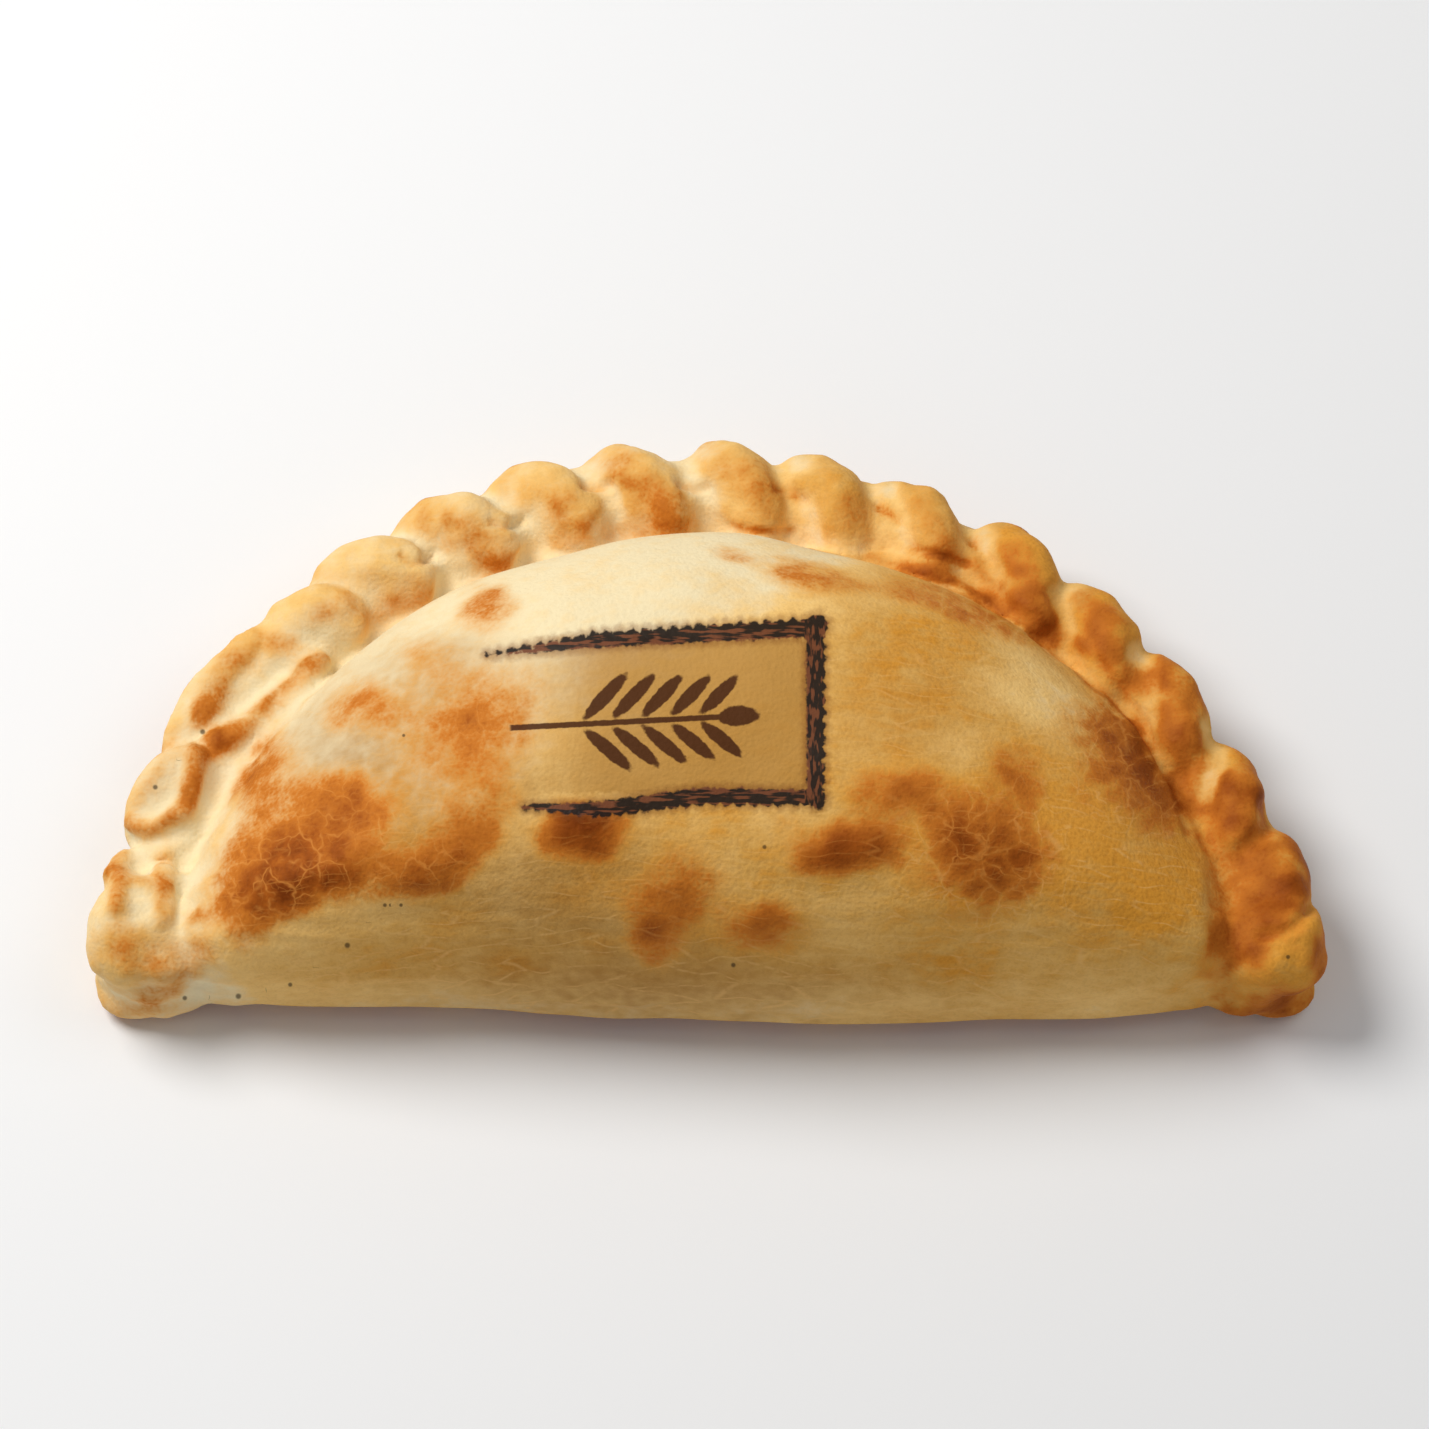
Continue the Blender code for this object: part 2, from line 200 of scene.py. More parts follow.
@dataclass(frozen=True)
class Rim:
    """The twisted rim: pleats wrapped round half an ellipse.

    ends holds the place and radii of the lumps at the right end of the fold: the
    pressed tip, the cheek that joins it to the pleat above, and the thin foot that
    has spread on the tray. The left end mirrors them.
    """

    radius: float = 6.6 * MM
    half_length: float = 60.9 * MM
    depth: float = 62.6 * MM
    fullness: float = 1.985
    sway: float = 2.2 * MM
    level: float = 6.8 * MM
    core_radius: float = 5.5 * MM
    pleat_radius: float = 3.7 * MM
    inward_stretch: float = 1.75
    tilt: float = math.radians(20.0)
    bluntness: float = 0.45
    ends: tuple[tuple[Place, Place], ...] = (
        ((60.2 * MM, 5.4 * MM, 4.2 * MM), (7.2 * MM, 5.6 * MM, 4.6 * MM)),
        ((60.6 * MM, 4.4 * MM, 7.6 * MM), (6.2 * MM, 4.4 * MM, 4.6 * MM)),
        ((63.4 * MM, 3.6 * MM, 2.0 * MM), (4.6 * MM, 3.5 * MM, 2.2 * MM)),
    )
    pleats: tuple[Pleat, ...] = PLEATS

    def stations(self, angle: Array) -> tuple[Array, Array, Array]:
        """Centres of the rim at some angles, with the outward and clockwise directions."""
        across = signed_power(np.cos(angle), 2.0 / self.fullness)
        along = signed_power(np.sin(angle), 2.0 / self.fullness)
        level = np.full_like(across, self.level)
        centre = np.stack([self.half_length * across - self.sway * along ** 2, self.depth * along, level], -1)
        onward = np.stack([self.half_length * np.sin(angle), -self.depth * np.cos(angle), 0.0 * angle], -1)
        onward /= np.linalg.norm(onward, axis=-1, keepdims=True)
        outward = np.stack([-onward[..., 1], onward[..., 0], 0.0 * angle], -1)
        return centre, outward, onward

    def core(self, unit: Array) -> Array:
        """The tube of dough inside the pleats, from unit points with poles on X."""
        place = np.arcsin(np.clip(unit[:, 0], -1.0, 1.0))
        round_off = np.cos(place) ** 0.18
        centre, outward, _ = self.stations(0.5 * math.pi - place)
        spin = np.arctan2(unit[:, 2], unit[:, 1])[:, None]
        return centre + self.core_radius * round_off[:, None] * (np.cos(spin) * outward + np.sin(spin) * UP)

    def lumps(self, unit: Array) -> list[Array]:
        """The lumps at the left and then the right end of the fold."""
        return [np.array(place) * (side, 1.0, 1.0) + np.array(radii) * unit
                for side in (-1.0, 1.0) for place, radii in self.ends]

    def strand(self, pleat: Pleat, unit: Array) -> Array:
        """One pleat: a fat strand that climbs over the rim while it moves along it.

        Its spine turns round the core by the travel's part across the rim and moves
        on along the rim by the rest. The section is thin at its left and blunt at its
        right, and tilted so that the blunt edge stands over the next pleat.
        """
        lean = math.radians(pleat.lean)
        travel = 0.5 * pleat.length * unit[:, 0]
        angle = math.radians(pleat.angle) - travel * math.sin(lean) / self.depth
        turn = (math.radians(pleat.wrap) + travel * math.cos(lean) / self.radius)[:, None]
        centre, outward, onward = self.stations(angle)
        away = np.cos(turn) * outward + np.sin(turn) * UP
        over = np.cos(turn) * UP - np.sin(turn) * outward
        side = math.cos(lean) * onward - math.sin(lean) * over
        wide = math.cos(self.tilt) * side + math.sin(self.tilt) * away
        thick = math.cos(self.tilt) * away - math.sin(self.tilt) * side
        fullness = np.maximum(np.hypot(unit[:, 1], unit[:, 2]), 1e-4)[:, None] ** -0.35
        stretch = np.where(np.cos(turn) < 0.0, self.inward_stretch, 1.0)
        spine = centre + self.pleat_radius * (stretch * np.cos(turn) * outward + np.sin(turn) * UP)
        blunt = 1.0 + self.bluntness * unit[:, 1:2]
        section = 0.5 * pleat.width * unit[:, 1:2] * wide
        section += 0.5 * pleat.thickness * blunt * unit[:, 2:3] * thick
        return spine + fullness * section

    def around(self, points: Array) -> tuple[Array, Array, Array]:
        """Angle of points along the rim, turn round it and distance from its centre."""
        angle = np.arctan2(points[:, 1] / self.depth, points[:, 0] / self.half_length)
        angle = np.where(angle < -0.5 * math.pi, math.pi, np.maximum(angle, 0.0))
        centre, outward, _ = self.stations(angle)
        out = ((points - centre) * outward).sum(1)
        rise = points[:, 2] - self.level
        turn = np.arctan2(rise, np.where(out < 0.0, out / self.inward_stretch, out))
        return angle, turn, np.hypot(out, rise)

    def dome_share(self, points: Array, normals: Array) -> tuple[Array, Array]:
        """How much points lie inside the rim, and on the dome's steep wall there, 0 to 1."""
        angle, _, _ = self.around(points)
        centre, outward, _ = self.stations(angle)
        inside = ((centre - points) * outward).sum(1)
        leaning = (normals * outward).sum(1)
        at_back = ease(points[:, 1], 12.0 * MM, 22.0 * MM)
        on_wall = ease(inside, 3.0 * MM, 5.5 * MM) * ease(leaning, 0.15, 0.45) * at_back
        return ease(inside, 2.0 * MM, 4.2 * MM), on_wall

    def crown(self, pleat: Pleat, angle: Array, turn: Array) -> tuple[Array, Array]:
        """Places on a pleat: along its strand and across it, each -1 to 1 at its edges."""
        lean = math.radians(pleat.lean)
        onward = (math.radians(pleat.angle) - angle) * self.depth
        over = (turn - math.radians(pleat.wrap)) * self.radius
        along = onward * math.sin(lean) + over * math.cos(lean)
        across = onward * math.cos(lean) - over * math.sin(lean)
        return along / (0.5 * pleat.length), across / (0.5 * pleat.width)


@dataclass(frozen=True)
class Pocket:
    """The domed pocket and the pressed band of dough round it."""

    height: float = 33.0 * MM
    half_length: float = 59.3 * MM
    depth: float = 55.6 * MM
    fold_inset: float = 0.5 * MM
    sag: float = 2.0 * MM
    sag_place: float = 18.0 * MM
    sag_reach: float = 30.0 * MM
    middle_y: float = 24.0 * MM
    waist_at_rim: float = 6.5 * MM
    waist_at_fold: float = 10.0 * MM
    tip_taper: float = 0.42
    base_press: float = 1.1 * MM
    corner_sharpness: float = 14.0
    dome_spread: float = 0.86
    dome_rise: float = 1.04
    base_spread: float = 0.36
    base_rise: float = 0.62
    band_half_length: float = 60.9 * MM
    band_depth: float = 62.6 * MM
    band_inset: float = 0.6 * MM
    band_top: float = 9.6 * MM
    band_bottom: float = 2.0 * MM
    band_spread: float = 0.12
    band_rise: float = 0.45

    def reach(self, angle: Array, half_length: float, depth: float, front: float) -> Array:
        """Distance from the dome's middle to the edge of a half-moon.

        The half-moon is an ellipse round the middle of the fold, cut straight at
        front. A high power mean of the two distances rounds the tips.
        """
        across, along = np.cos(angle), np.sin(angle)
        a = (across / half_length) ** 2 + (along / depth) ** 2
        b = 2.0 * self.middle_y * along / depth ** 2
        c = (self.middle_y / depth) ** 2 - 1.0
        to_arc = (-b + np.sqrt(b * b - 4.0 * a * c)) / (2.0 * a)
        to_line = (self.middle_y - front) / np.maximum(-along, 1e-3)
        sagging = self.sag * hill(to_line * across, self.sag_place, self.sag_reach)
        to_fold = to_line * (1.0 + sagging / (self.middle_y - front))
        power = self.corner_sharpness
        rounded = (to_arc ** -power + to_fold ** -power) ** (-1.0 / power)
        return np.where(along >= 0.0, to_arc, rounded)

    def place(self, angle: Array, out: Array, level: Array) -> Array:
        """Points at a direction and distance from the dome's middle, at a level."""
        return np.stack([out * np.cos(angle), self.middle_y + out * np.sin(angle), level], -1)

    def dome(self, unit: Array) -> Array:
        """The pocket's skin, from unit points: upper half the dome, lower half the base."""
        angle = np.arctan2(unit[:, 1], unit[:, 0])
        flat = np.hypot(unit[:, 0], unit[:, 1])
        rise = np.abs(unit[:, 2])
        reach = self.reach(angle, self.half_length, self.depth, self.fold_inset)
        step = ease(0.5 - 1.2 * np.sin(angle), 0.0, 1.0)
        waist = self.waist_at_rim + (self.waist_at_fold - self.waist_at_rim) * step
        top_out = reach * flat ** self.dome_spread
        taper = 1.0 - self.tip_taper * np.abs(top_out * np.cos(angle) / self.half_length) ** 3
        top = waist + (self.height - waist) * taper * rise ** self.dome_rise
        base = waist - (waist + self.base_press) * rise ** self.base_rise
        upper = unit[:, 2] >= 0.0
        out = np.where(upper, top_out, reach * flat ** self.base_spread)
        return self.place(angle, out, np.where(upper, top, base))

    def band(self, unit: Array) -> Array:
        """The flat band between dome and rim, from unit points."""
        angle = np.arctan2(unit[:, 1], unit[:, 0])
        flat = np.hypot(unit[:, 0], unit[:, 1])
        reach = self.reach(angle, self.band_half_length, self.band_depth, self.band_inset)
        middle = 0.5 * (self.band_top + self.band_bottom)
        half = 0.5 * (self.band_top - self.band_bottom)
        level = middle + half * signed_power(unit[:, 2], self.band_rise)
        return self.place(angle, reach * flat ** self.band_spread, level)


@dataclass(frozen=True)
class PhotoView:
    """The camera, and where a point of the object lands in its picture.

    Places in the picture are sizes at the object: how far to the right of the
    object's middle, and how far above its fold line.
    """

    elevation: float = math.radians(63.0)
    distance: float = 0.66
    width: float = 0.15996
    target_height: float = 11.5 * MM
    shift_right: float = 0.0056
    shift_up: float = -0.0033
    fold_level: float = 0.2103

    @property
    def fold_drop(self) -> float:
        """How far the fold line lies below the target in the picture."""
        return (self.fold_level - self.shift_up) * self.width

    @property
    def up(self) -> Array:
        """The picture's upward direction."""
        return np.array([0.0, math.sin(self.elevation), math.cos(self.elevation)])

    @property
    def back(self) -> Array:
        """The direction from the object to the camera."""
        return np.array([0.0, -math.cos(self.elevation), math.sin(self.elevation)])

    @property
    def stand(self) -> Array:
        """Where the camera stands."""
        return np.array([0.0, 0.0, self.target_height]) + self.distance * self.back

    def project(self, points: Array) -> Array:
        """Places of points in the picture in millimetres: one row right, one row above."""
        away = points - self.stand
        scale = self.distance / -(away @ self.back)
        return np.stack([away[:, 0] * scale, (away @ self.up) * scale + self.fold_drop]) / MM

    def facing(self, points: Array, normals: Array) -> Array:
        """How squarely the skin looks at the camera, from -1 to 1."""
        towards = self.stand - points
        towards /= np.linalg.norm(towards, axis=1, keepdims=True)
        return (towards * normals).sum(1)

    def build(self) -> None:
        """Add the camera and make it the scene's."""
        data = bpy.data.cameras.new("photo_view")
        data.sensor_width = 36.0
        data.lens = data.sensor_width * self.distance / self.width
        data.shift_x = self.shift_right
        data.shift_y = self.shift_up
        data.clip_start = 0.01
        camera = add_object("photo_view", data)
        camera.location = self.stand
        camera.rotation_euler = (0.5 * math.pi - self.elevation, 0.0, 0.0)
        bpy.context.scene.camera = camera


@dataclass(frozen=True)
class Spot:
    """A soft spot on the skin: its place in the picture, half its size, and how it looks.

    Places and sizes are in millimetres and turn is in degrees, anticlockwise.
    strength is how far it colours the skin, puff how far it rises as a share of the
    usual, and cracked how much its skin has split.
    """

    right: float
    above: float
    half_width: float
    half_height: float
    strength: float
    turn: float = 0.0
    puff: float = 0.0
    cracked: float = 0.0
    softness: float = 1.0

    def radius(self, picture: Array) -> Array:
        """Distance from the spot's middle, 1 at its edge, for places in the picture."""
        turn = math.radians(self.turn)
        dx, dy = picture[0] - self.right, picture[1] - self.above
        along = (dx * math.cos(turn) + dy * math.sin(turn)) / self.half_width
        across = (dy * math.cos(turn) - dx * math.sin(turn)) / self.half_height
        return np.hypot(along, across)

    def cover(self, picture: Array, drift: Array) -> Array:
        """How much of the spot lies at places in the picture, 0 to 1, with edges that wander."""
        radius = self.radius(picture + min(1.0, 0.3 * min(self.half_width, self.half_height)) * drift)
        return 1.0 - ease(radius, 1.0 - 0.95 * self.softness, 1.0 + 0.75 * self.softness)

    def swell(self, picture: Array) -> Array:
        """The smooth hill that the spot raises, 0 to 1."""
        return np.exp(-1.1 * self.radius(picture) ** 2)


@dataclass(frozen=True)
class Fold:
    """A ridge or crease in the dough, along a path in the picture, in millimetres.

    rise is its height, below 0 for a crease. strength is how far it is toasted, and
    below 0 how far it stays pale; on a crease, a strength above 0 is painted shade in the crease.
    """

    path: tuple[tuple[float, float], ...]
    half_width: float
    rise: float
    strength: float = 0.0

    def cover(self, picture: Array) -> Array:
        """How much of the fold lies at places in the picture, 0 to 1."""
        nearest = np.inf
        for start, end in zip(self.path, self.path[1:]):
            step = np.subtract(end, start)
            dx, dy = picture[0] - start[0], picture[1] - start[1]
            part = np.clip((dx * step[0] + dy * step[1]) / (step @ step), 0.0, 1.0)
            nearest = np.minimum(nearest, np.hypot(dx - part * step[0], dy - part * step[1]))
        return 1.0 - ease(nearest, 0.3 * self.half_width, 1.35 * self.half_width)


# Each row: half width, rise and strength, then the path. Creases with a strength above 0 are painted shade
# along the crease: the tucks between pleats, the lines under the pleats, the groove at the right tip and the
# line along the dome's right edge.
FOLDS = tuple(Fold(path, *looks) for *looks, path in (
    (1.1, 0.7, 0.1, ((-65.5, 18.2), (-65.9, 15.3), (-66.4, 12))),
    (1.1, 0.6, 0.07, ((-66.1, 15.3), (-63.4, 14.9), (-60.8, 14.4))),
    (1.3, 0.8, 0.12, ((-60.6, 17.6), (-60.7, 14.2), (-61.1, 10.9))),
    (1.2, -0.5, -0.5, ((-63.5, 17.1), (-63.2, 16.5))),
    (1.2, -0.5, -0.5, ((-63.9, 13.3), (-63.5, 11.5))),
    (1.1, -0.5, -0.4, ((-65, 19.8), (-62.3, 19.3), (-58.7, 20.3))),
    (1.2, 0.7, 0.14, ((-57, 29.9), (-57.7, 25.6), (-58.5, 22.9), (-60.8, 21.5), (-62.7, 20.8),
     (-64.1, 21.6))),
    (1.7, -0.6, -0.4, ((-59.6, 27.9), (-60.5, 25.2), (-62.1, 23.4))),
    (1.8, 0.7, 0.15, ((-56.5, 33.7), (-55.4, 36.4), (-53.8, 39.1), (-51.9, 40.9), (-49.4, 42),
     (-46.8, 41.4), (-44.2, 39.7))),
    (1.6, 0.8, 0.2, ((-43.9, 39.3), (-46.8, 36.9), (-49.5, 34.4), (-52.1, 32.2), (-53.8, 31.1),
     (-55.2, 29.9))),
    (1.8, 0.5, 0.16, ((-56.5, 33.7), (-56, 31.3), (-55, 29.8))),
    (1.3, -0.7, -0.6, ((-52.6, 34.5), (-50.2, 36.5), (-47.7, 38.6))),
    (0.7, -0.5, 0, ((-57.1, 31), (-56.1, 29), (-54.2, 29.4))),
    (0.55, -0.7, 0.26, ((-34.1, 51.6), (-33, 50.7), (-31.6, 50.9), (-30.6, 51.7))),
    (1.3, -0.5, -0.35, ((-30.6, 51.4), (-29.4, 49.3), (-29.2, 46.7))),
    (0.55, -0.7, 0.22, ((-23.8, 55.5), (-22.3, 55.1), (-20.8, 55.5))),
    (1.4, -0.5, -0.6, ((-20.5, 55.2), (-18.9, 52.6), (-20.4, 49.8))),
    (0.55, -0.7, 0.26, ((-13.3, 59.9), (-11.9, 59.3), (-10.7, 59.7))),
    (1.2, -0.4, -0.5, ((-10.6, 59), (-10.1, 56.5), (-11.9, 54.3))),
    (0.55, -0.7, 0.3, ((-2.6, 59.8), (-1.2, 59.1), (-0.1, 59.4))),
    (1.2, -0.4, -0.5, ((0.1, 58.5), (0.2, 56.3), (1.7, 54.1))),
    (0.6, -0.7, 0.38, ((8, 59.2), (9.3, 58.5), (10.8, 57.7))),
    (1.3, -0.4, -0.6, ((11.1, 57.7), (12, 55.2), (11.8, 52.6))),
    (0.6, -0.7, 0.3, ((19.2, 56.8), (20.4, 56), (21.2, 55.2))),
    (1, -0.4, -0.3, ((20.9, 58.8), (22, 56), (22.1, 53.2))),
    (0.6, -0.7, 0.22, ((29.9, 53.2), (31, 52.1), (31.7, 50.9))),
    (1.2, -0.4, -0.4, ((31.7, 52.6), (32.6, 49.8), (33.2, 48.1))),
    (0.55, -0.5, 0.34, ((2.4, 54.7), (4.6, 54.2), (7.3, 54.1), (9.7, 54.3))),
    (0.6, -0.5, 0.46, ((22.6, 52.5), (24.5, 51.9), (26.7, 51.6), (29.3, 50.7))),
    (1.2, -0.5, -0.3, ((39.2, 47.6), (40.2, 45.1), (40.5, 42.7))),
    (1.3, -0.5, -0.25, ((48.4, 40.9), (49.9, 38.8), (49.6, 35.3), (49.6, 33.2))),
    (1.3, -0.5, -0.45, ((56.4, 32.4), (57.7, 29.9), (56.6, 27.2), (55.9, 24.6))),
    (1, -0.6, 0, ((62.6, 23.4), (62.6, 20.7), (60.2, 18.5))),
    (0.8, -0.9, 0.19, ((67.8, 12), (65.8, 9.9), (64.2, 9.2), (62.2, 8.8))),
    (0.6, -0.6, 0.19, ((43.8, 39.7), (46.3, 36.6), (48.5, 33.2), (50.5, 29.4), (52.6, 25.2), (54.3, 20.7))),
    (1.8, 0.45, 0.55, ((18.5, 50.3), (23.3, 49.2), (28.4, 47.4), (34, 45.2), (38.7, 42.4))),
    (0.9, 0.4, 0.28, ((33.3, 48), (36.8, 45.9), (39.8, 43.3), (42.4, 40.9))),
    (1, -0.3, -0.2, ((28.4, 49.6), (32.9, 46.9), (36.2, 44.7))),
    (1.7, -0.3, -0.15, ((64.2, 7.2), (65.4, 4.6))),
    (1.5, 0.4, 0, ((-68.1, 4.8), (-65.7, 3.9), (-62.3, 3.5), (-57.8, 4.4))),
))


# Each row of spots: right, above, half width, half height, strength, turn, puff, cracked, softness
DOME_SPOTS = tuple(Spot(*row) for row in (
    (-24.2, 45.3, 3.3, 2.8, 0.44, 0, 0.45, 0, 0.8), (-31.5, 40, 3.2, 2.6, 0.26, 0, 0.25),
    (-38.2, 34.4, 4.4, 3, 0.42, 0, 0.4), (-25.4, 33.6, 8.2, 5.6, 0.46, 0, 0.35, 0.35),
    (-50.6, 28.4, 4.8, 4.8, 0.42, 0, 0.4, 0.3), (-40.5, 24.1, 4.7, 3.4, 0.5, 0, 0.4, 0.5),
    (-44.6, 19.8, 6.4, 5.8, 0.5, 0, 0, 0.5), (-47.2, 15.8, 7.2, 4.3, 0.88, 0, 0.9, 1),
    (-50.9, 13.1, 5.1, 2.5, 0.6, 0, 0, 0.9), (-50.4, 22.5, 2.6, 6, 0.14, 0, 0, 0.3),
    (-31.2, 16, 5.6, 3, 0.66, 15, 0.9, 0.6), (-25.8, 20.8, 4.2, 3.2, 0.56, 20),
    (-36.6, 20.4, 5.2, 4.4, 0.3, 0, 0, 0.4), (-38.8, 15, 5.5, 2.6, 0.22, 0, 0, 0.6),
    (-51.5, 10.4, 5, 2.8, 0.42, 0, 0, 0.4), (-52, 6.5, 4.5, 2.6, 0.16), (-25, 26.2, 4, 3, 0.28),
    (-31, 27.4, 6.7, 4.9, 0.22), (-13.6, 20.5, 5.2, 3.4, 0.88, 0, 0.9, 0, 0.75),
    (-1.6, 15.8, 4.4, 3.9, 0.42), (-4.9, 11, 4.6, 4.4, 0.6, 0, 0.3, 0.35),
    (6.7, 10.3, 5, 3.2, 0.62, 0, 0.9), (15.6, 18.3, 5.8, 2.9, 0.8, 10, 1, 0, 0.8),
    (21.4, 24.6, 5.8, 3, 0.62, 8, 0.4), (31.2, 16.8, 9.6, 7.2, 0.52, 0, 0.6, 0.9),
    (32.8, 17.2, 5.6, 3.9, 0.42, 0, 0, 1), (28.4, 20.7, 3.8, 3.6, 0.45, 0, 0, 0.9),
    (35.1, 25.8, 3.4, 3.6, 0.46, 0, 0, 0.4), (50.2, 25, 4.6, 3.4, 0.24, -60, 0, 0.7),
    (47.4, 28.3, 8.4, 6.2, 0.68, -62, 0.7, 0.9), (12.1, 48.9, 5.6, 2.1, 0.48, -14, 0.35),
    (3.2, 51.8, 2.7, 1, 0.32, -10), (28.9, 42, 2.2, 1.2, 0.24, -20), (16.1, 33.6, 3.8, 2.9, 0.12),
    (34.5, 29.7, 4, 3.4, 0.24), (-57.8, 11.2, 1.8, 1.2, 0.32), (20, 48, 4.5, 1.6, 0.24, -22),
    (26.1, 46.4, 5.6, 1.9, 0.4, -24, 0, 0.4), (32.6, 43.7, 5.6, 1.7, 0.38, -28, 0, 0.7),
    (41.3, 39.8, 4, 1.3, 0.22, -36, 0, 0.3), (-11.9, 14, 6.7, 2.9, 0.2), (9, 20.5, 3.5, 3, 0.22),
))

RIM_SPOTS = tuple(Spot(*row) for row in (
    (-42.9, 48.9, 1.8, 1.3, 0.45), (-7.5, 54.6, 9, 2, 0.85, 4), (-21, 50.6, 7, 1.4, 0.45, 28),
    (-37.5, 46.7, 5.5, 2.9, 0.46, -8), (-33, 46.2, 5.5, 2.4, 0.5, 15), (-28.6, 54.4, 6, 2.4, 0.6, -10),
    (-30.3, 55.2, 3.4, 1.2, 0.2), (-24.2, 50.9, 4.8, 2.1, 0.6, -20), (-18, 57.9, 5.8, 2.6, 0.5, -15),
    (-14.4, 55.3, 3.1, 1.6, 0.26, -30), (-9.5, 61.5, 4.3, 2, 0.48, -10), (-5.8, 57.8, 4.8, 2.9, 0.78, -32),
    (4, 60.8, 5, 2.4, 0.56, -25), (6.2, 57.8, 3.8, 3, 0.54, -30), (13.8, 60.1, 3.4, 2, 0.34, -20),
    (16.4, 55.7, 3.6, 3, 0.72, -40), (24.1, 57.9, 3.6, 2.9, 0.44, -45), (26.8, 54.3, 3.8, 2, 0.52, -30),
    (26.1, 51.3, 4, 0.8, 0.55, -20), (35.3, 49.3, 5.6, 3.1, 0.58, -60), (37.6, 46.2, 3.1, 1.8, 0.36, -60),
    (44.4, 45.1, 3.8, 2.9, 0.46, -45), (44.9, 41.3, 2.9, 2.5, 0.52), (52.1, 36.4, 4.3, 2.9, 0.46, -55),
    (54.1, 35.8, 3.1, 1.6, 0.45, -65), (53, 31.7, 3.1, 2.7, 0.4), (59.5, 24.1, 4.3, 3.1, 0.48, -70),
    (61.7, 25.7, 3.4, 1.1, 0.46, -70), (63.9, 15.3, 4.5, 4.7, 0.7), (62.2, 12.9, 2.5, 2.5, 0.3),
    (65.3, 2, 4, 1.8, 0.44), (63.1, 0.8, 6, 1.6, 0.5), (28.4, 49.6, 6.5, 2.4, 0.9, -22),
    (58, 22, 3, 3.4, 0.5, -30), (62, 14.5, 5, 6, 0.5), (48.5, 37.5, 3.6, 3, 0.75, -40),
    (36.2, 46.5, 5, 2.2, 0.45, -30), (58.6, 8.2, 2.8, 4.2, 0.6), (60.3, 7.3, 2.3, 3.4, 0.4),
    (68.9, 6.2, 1.1, 3.8, 0.6), (-64, 7.8, 4.9, 2.7, 0.46), (-62.5, 4.5, 4.7, 3.4, 0.4),
    (-63.4, 1.3, 4.9, 2, 0.46), (-65.9, 14.6, 1.2, 3.4, 0.5), (-61.4, 13.7, 1, 3.1, 0.46),
    (-63.6, 15.3, 1.8, 0.8, 0.4), (-61.6, 26.3, 7.2, 1.7, 0.36, 63), (-57.7, 27.4, 4, 1, 0.34, 86),
    (-61.2, 20.4, 3.4, 1.2, 0.55, 18), (-50.5, 39.2, 6.9, 1.6, 0.4, 38), (-55.2, 33.2, 3.6, 1.5, 0.36, 78),
    (-48.1, 35.3, 7.4, 1.3, 0.3, 44), (-53.6, 29.9, 1.9, 1.3, 0.34), (-42.5, 44.8, 1.9, 1.5, 0.28),
    (-59, 27, 3, 5, 0.5, -20), (-53, 33.5, 3.5, 3, 0.4), (-59.6, 6, 4.2, 3.6, 0.6),
    (55, 27, 3, 4.5, 0.6, 25),
))

# Spots where the skin stays pale. The two long strips along the fold line and the spot on the dome's right
# shoulder, at 41 right and 32.5 above, are painted light that lightens the shade there; the others are pale
# dough.
PALE_AND_PAINTED_LIGHT_SPOTS = tuple(Spot(*row) for row in (
    (-57.1, 20.7, 7.6, 1.7, 1, 80), (-44.2, 43.3, 4.5, 2.2, 0.8, 30), (-49.8, 36.4, 4.9, 1.1, 0.8, 42),
    (-33.2, 42.5, 7.8, 1.8, 0.8, 30), (-11.9, 49.3, 14.6, 3.4, 0.7, 4), (-13, 52.8, 5.6, 1, 0.5, 12),
    (-11.9, 61.8, 1.8, 1.1, 0.8), (-0.7, 63.6, 2, 1.1, 0.8), (10.5, 61.9, 1.8, 1.1, 0.8),
    (20, 59.1, 1.8, 1.3, 0.7), (31.2, 54.1, 1.6, 1.6, 0.7), (41.6, 47.4, 1.6, 1.6, 0.7),
    (48.5, 40.3, 1.3, 1.3, 0.5), (50.3, 38, 1.6, 2.6, 0.4, 60), (56.4, 26.9, 1.6, 2.5, 0.5, 60),
    (-60.6, 35.3, 1.1, 2.7, 0.4, 60), (-60.6, 24.1, 2.9, 1.8, 0.6, 70), (-63.6, 12, 1.3, 1.3, 0.7),
    (12.7, 53.2, 4.5, 1.1, 0.5, -10), (-38.8, 39.8, 6, 2.6, 0.8, 35), (-65.7, 10.1, 2.9, 0.9, 0.6),
    (39.5, 34.6, 6.4, 3, 0.58, -20), (34, 36.4, 5.6, 2.7, 0.35), (0, 0.5, 62, 2.6, 0.4),
    (-24, 0.5, 34, 2.6, 0.35), (35.5, 40.5, 5, 2.2, 0.5, -30), (41, 32.5, 4.2, 5, 0.36),
    (28.5, 29.8, 4.8, 3.4, 0.35),
))

# Spots that blend the skin towards the dull tone. The five lowest, near the fold line at the front, are
# painted shade under the bulge of the fold; the others dull the skin's own colour.
DULL_AND_SHADE_SPOTS = tuple(Spot(*row) for row in (
    (-20, 13, 13, 6, 0.45), (-12, 17, 8, 6, 0.35), (-16, 3, 20, 4.5, 0.4), (4, 3, 22, 4, 0.4),
    (-36, 27.5, 13, 8.5, 0.6), (-31.5, 37, 7, 5, 0.35), (-25, 28, 5.5, 5, 0.6), (-5, 9, 8, 5, 0.35),
    (-37, 20, 8, 5.5, 0.8), (-26.5, 38.5, 5.5, 4, 0.3), (22, 33, 8, 8, 0.3),
))

